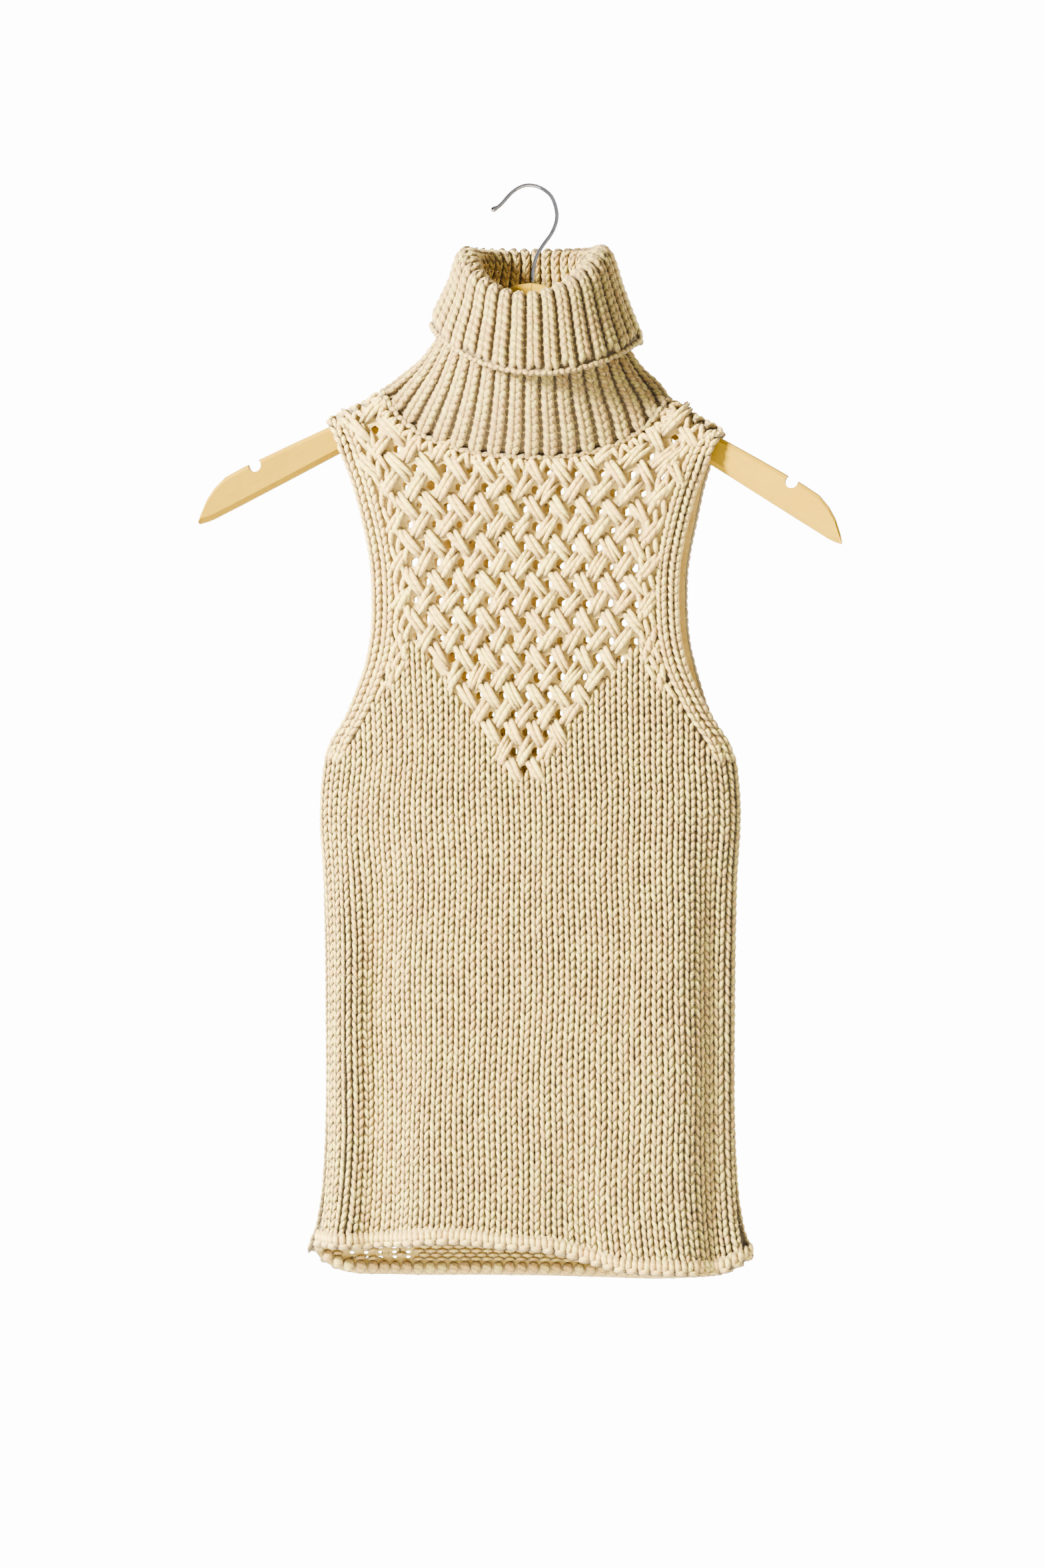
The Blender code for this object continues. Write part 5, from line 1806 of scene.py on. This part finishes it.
# columns: name, row of the neck, skin, how far it stands off, how far it is moved down
CHAINS = (
    ("neck_seam_chain", 1, 1.0, 3.3, 3.6),
    ("cast_off_chain", -1, -1.0, 1.6, 0.4),
)
for name, row, skin, rise, drop in CHAINS:
    neck_pieces.append(lay_stitches(name, *chain(row, skin, rise, drop), bump, rib_yarn, seed=15))

# %% [markdown]
# ## Hanger
#
# The hanger keeps the shape of its solids and gets real finishes: pale wood with a long grain under
# clear varnish, and bright plated wire. The grain is noise drawn out along each arm, so a Mapping node
# turns it by the arm's slope. The wire is metal that is a little smeared.

# %% Wood
ARM_SLOPE = math.atan(SHOULDER_SLOPE)
GRAIN_SCALE = (6.0, 60.0, 90.0)
WOOD_PALE = (0.46, 0.305, 0.008)
WOOD_WARM = (0.36, 0.222, 0.004)
WOOD_VEIN = (0.24, 0.115, 0.004)
VEIN_SHARE = 0.4


def make_wood(name, slope):
    """Varnished wood whose grain runs along an arm of that slope."""
    made = bpy.data.materials.new(name)
    made.use_nodes = True
    tree = made.node_tree
    shader = tree.nodes["Principled BSDF"]
    place_on = tree.nodes.new("ShaderNodeTexCoord").outputs["Object"]
    turn = tree.nodes.new("ShaderNodeMapping")
    turn.inputs["Rotation"].default_value = (0.0, slope, 0.0)
    tree.links.new(place_on, turn.inputs["Vector"])
    squeeze = tree.nodes.new("ShaderNodeMapping")
    squeeze.inputs["Scale"].default_value = GRAIN_SCALE
    tree.links.new(turn.outputs[0], squeeze.inputs["Vector"])
    broad = add_noise(tree, squeeze.outputs[0], 1.0, 3.0, 0.55)
    fine = add_noise(tree, squeeze.outputs[0], 9.0, 3.0, 0.6)
    colour = add_mix(tree, broad, WOOD_WARM, WOOD_PALE)
    colour = add_mix(tree, add_math(tree, "MULTIPLY", fine, VEIN_SHARE), colour, WOOD_VEIN)
    tree.links.new(colour, shader.inputs["Base Color"])
    shader.inputs["Roughness"].default_value = 0.38
    shader.inputs["Specular IOR Level"].default_value = 0.05
    shader.inputs["Coat Weight"].default_value = 0.01
    shader.inputs["Coat Roughness"].default_value = 0.18
    relief = tree.nodes.new("ShaderNodeBump")
    relief.inputs["Strength"].default_value = 0.15
    relief.inputs["Distance"].default_value = 0.3 * MM
    tree.links.new(fine, relief.inputs["Height"])
    tree.links.new(relief.outputs["Normal"], shader.inputs["Normal"])
    return made


print("grain turned by", round(math.degrees(ARM_SLOPE), 1), "degrees")

# %% Wire, and both finishes on the hanger
CHROME_DARK = (0.10, 0.10, 0.11)
CHROME_PALE = (0.26, 0.26, 0.27)
SMEAR_SCALE = 220.0
SMOOTHEST = 0.03
SMEAR_ROUGHENS = 0.06


def make_chrome():
    """Bright plated wire with a faint smear."""
    made = bpy.data.materials.new("chrome_wire")
    made.use_nodes = True
    tree = made.node_tree
    shader = tree.nodes["Principled BSDF"]
    place_on = tree.nodes.new("ShaderNodeTexCoord").outputs["Object"]
    smear = add_noise(tree, place_on, SMEAR_SCALE, 2.0)
    colour = add_mix(tree, smear, CHROME_DARK, CHROME_PALE)
    roughness = add_math(tree, "MULTIPLY_ADD", smear, SMEAR_ROUGHENS, SMOOTHEST)
    tree.links.new(colour, shader.inputs["Base Color"])
    shader.inputs["Metallic"].default_value = 1.0
    tree.links.new(roughness, shader.inputs["Roughness"])
    return made


for node, material in (
    ("hanger_left", make_wood("varnished_wood_left", ARM_SLOPE)),
    ("hanger_right", make_wood("varnished_wood_right", -ARM_SLOPE)),
    ("hanger_hook", make_chrome()),
):
    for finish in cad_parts[node].material_slots:
        finish.material = material
    print(node, "finished")

# %% [markdown]
# ## Attach the pieces
#
# The helper grains are removed, the solids that the stitches stand for are hidden, and every piece rides on
# the one body.

# %% Attach
for made in STITCH_STORE:
    bpy.data.objects.remove(made)

for side in ("front", "back"):
    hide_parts(side + "_panel")
    for piece in [grounds[side]] + knit_pieces[side]:
        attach(piece, "root")
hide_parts("turtleneck_stand", "turtleneck_fold")
for piece in [neck_ground] + neck_pieces:
    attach(piece, "root")
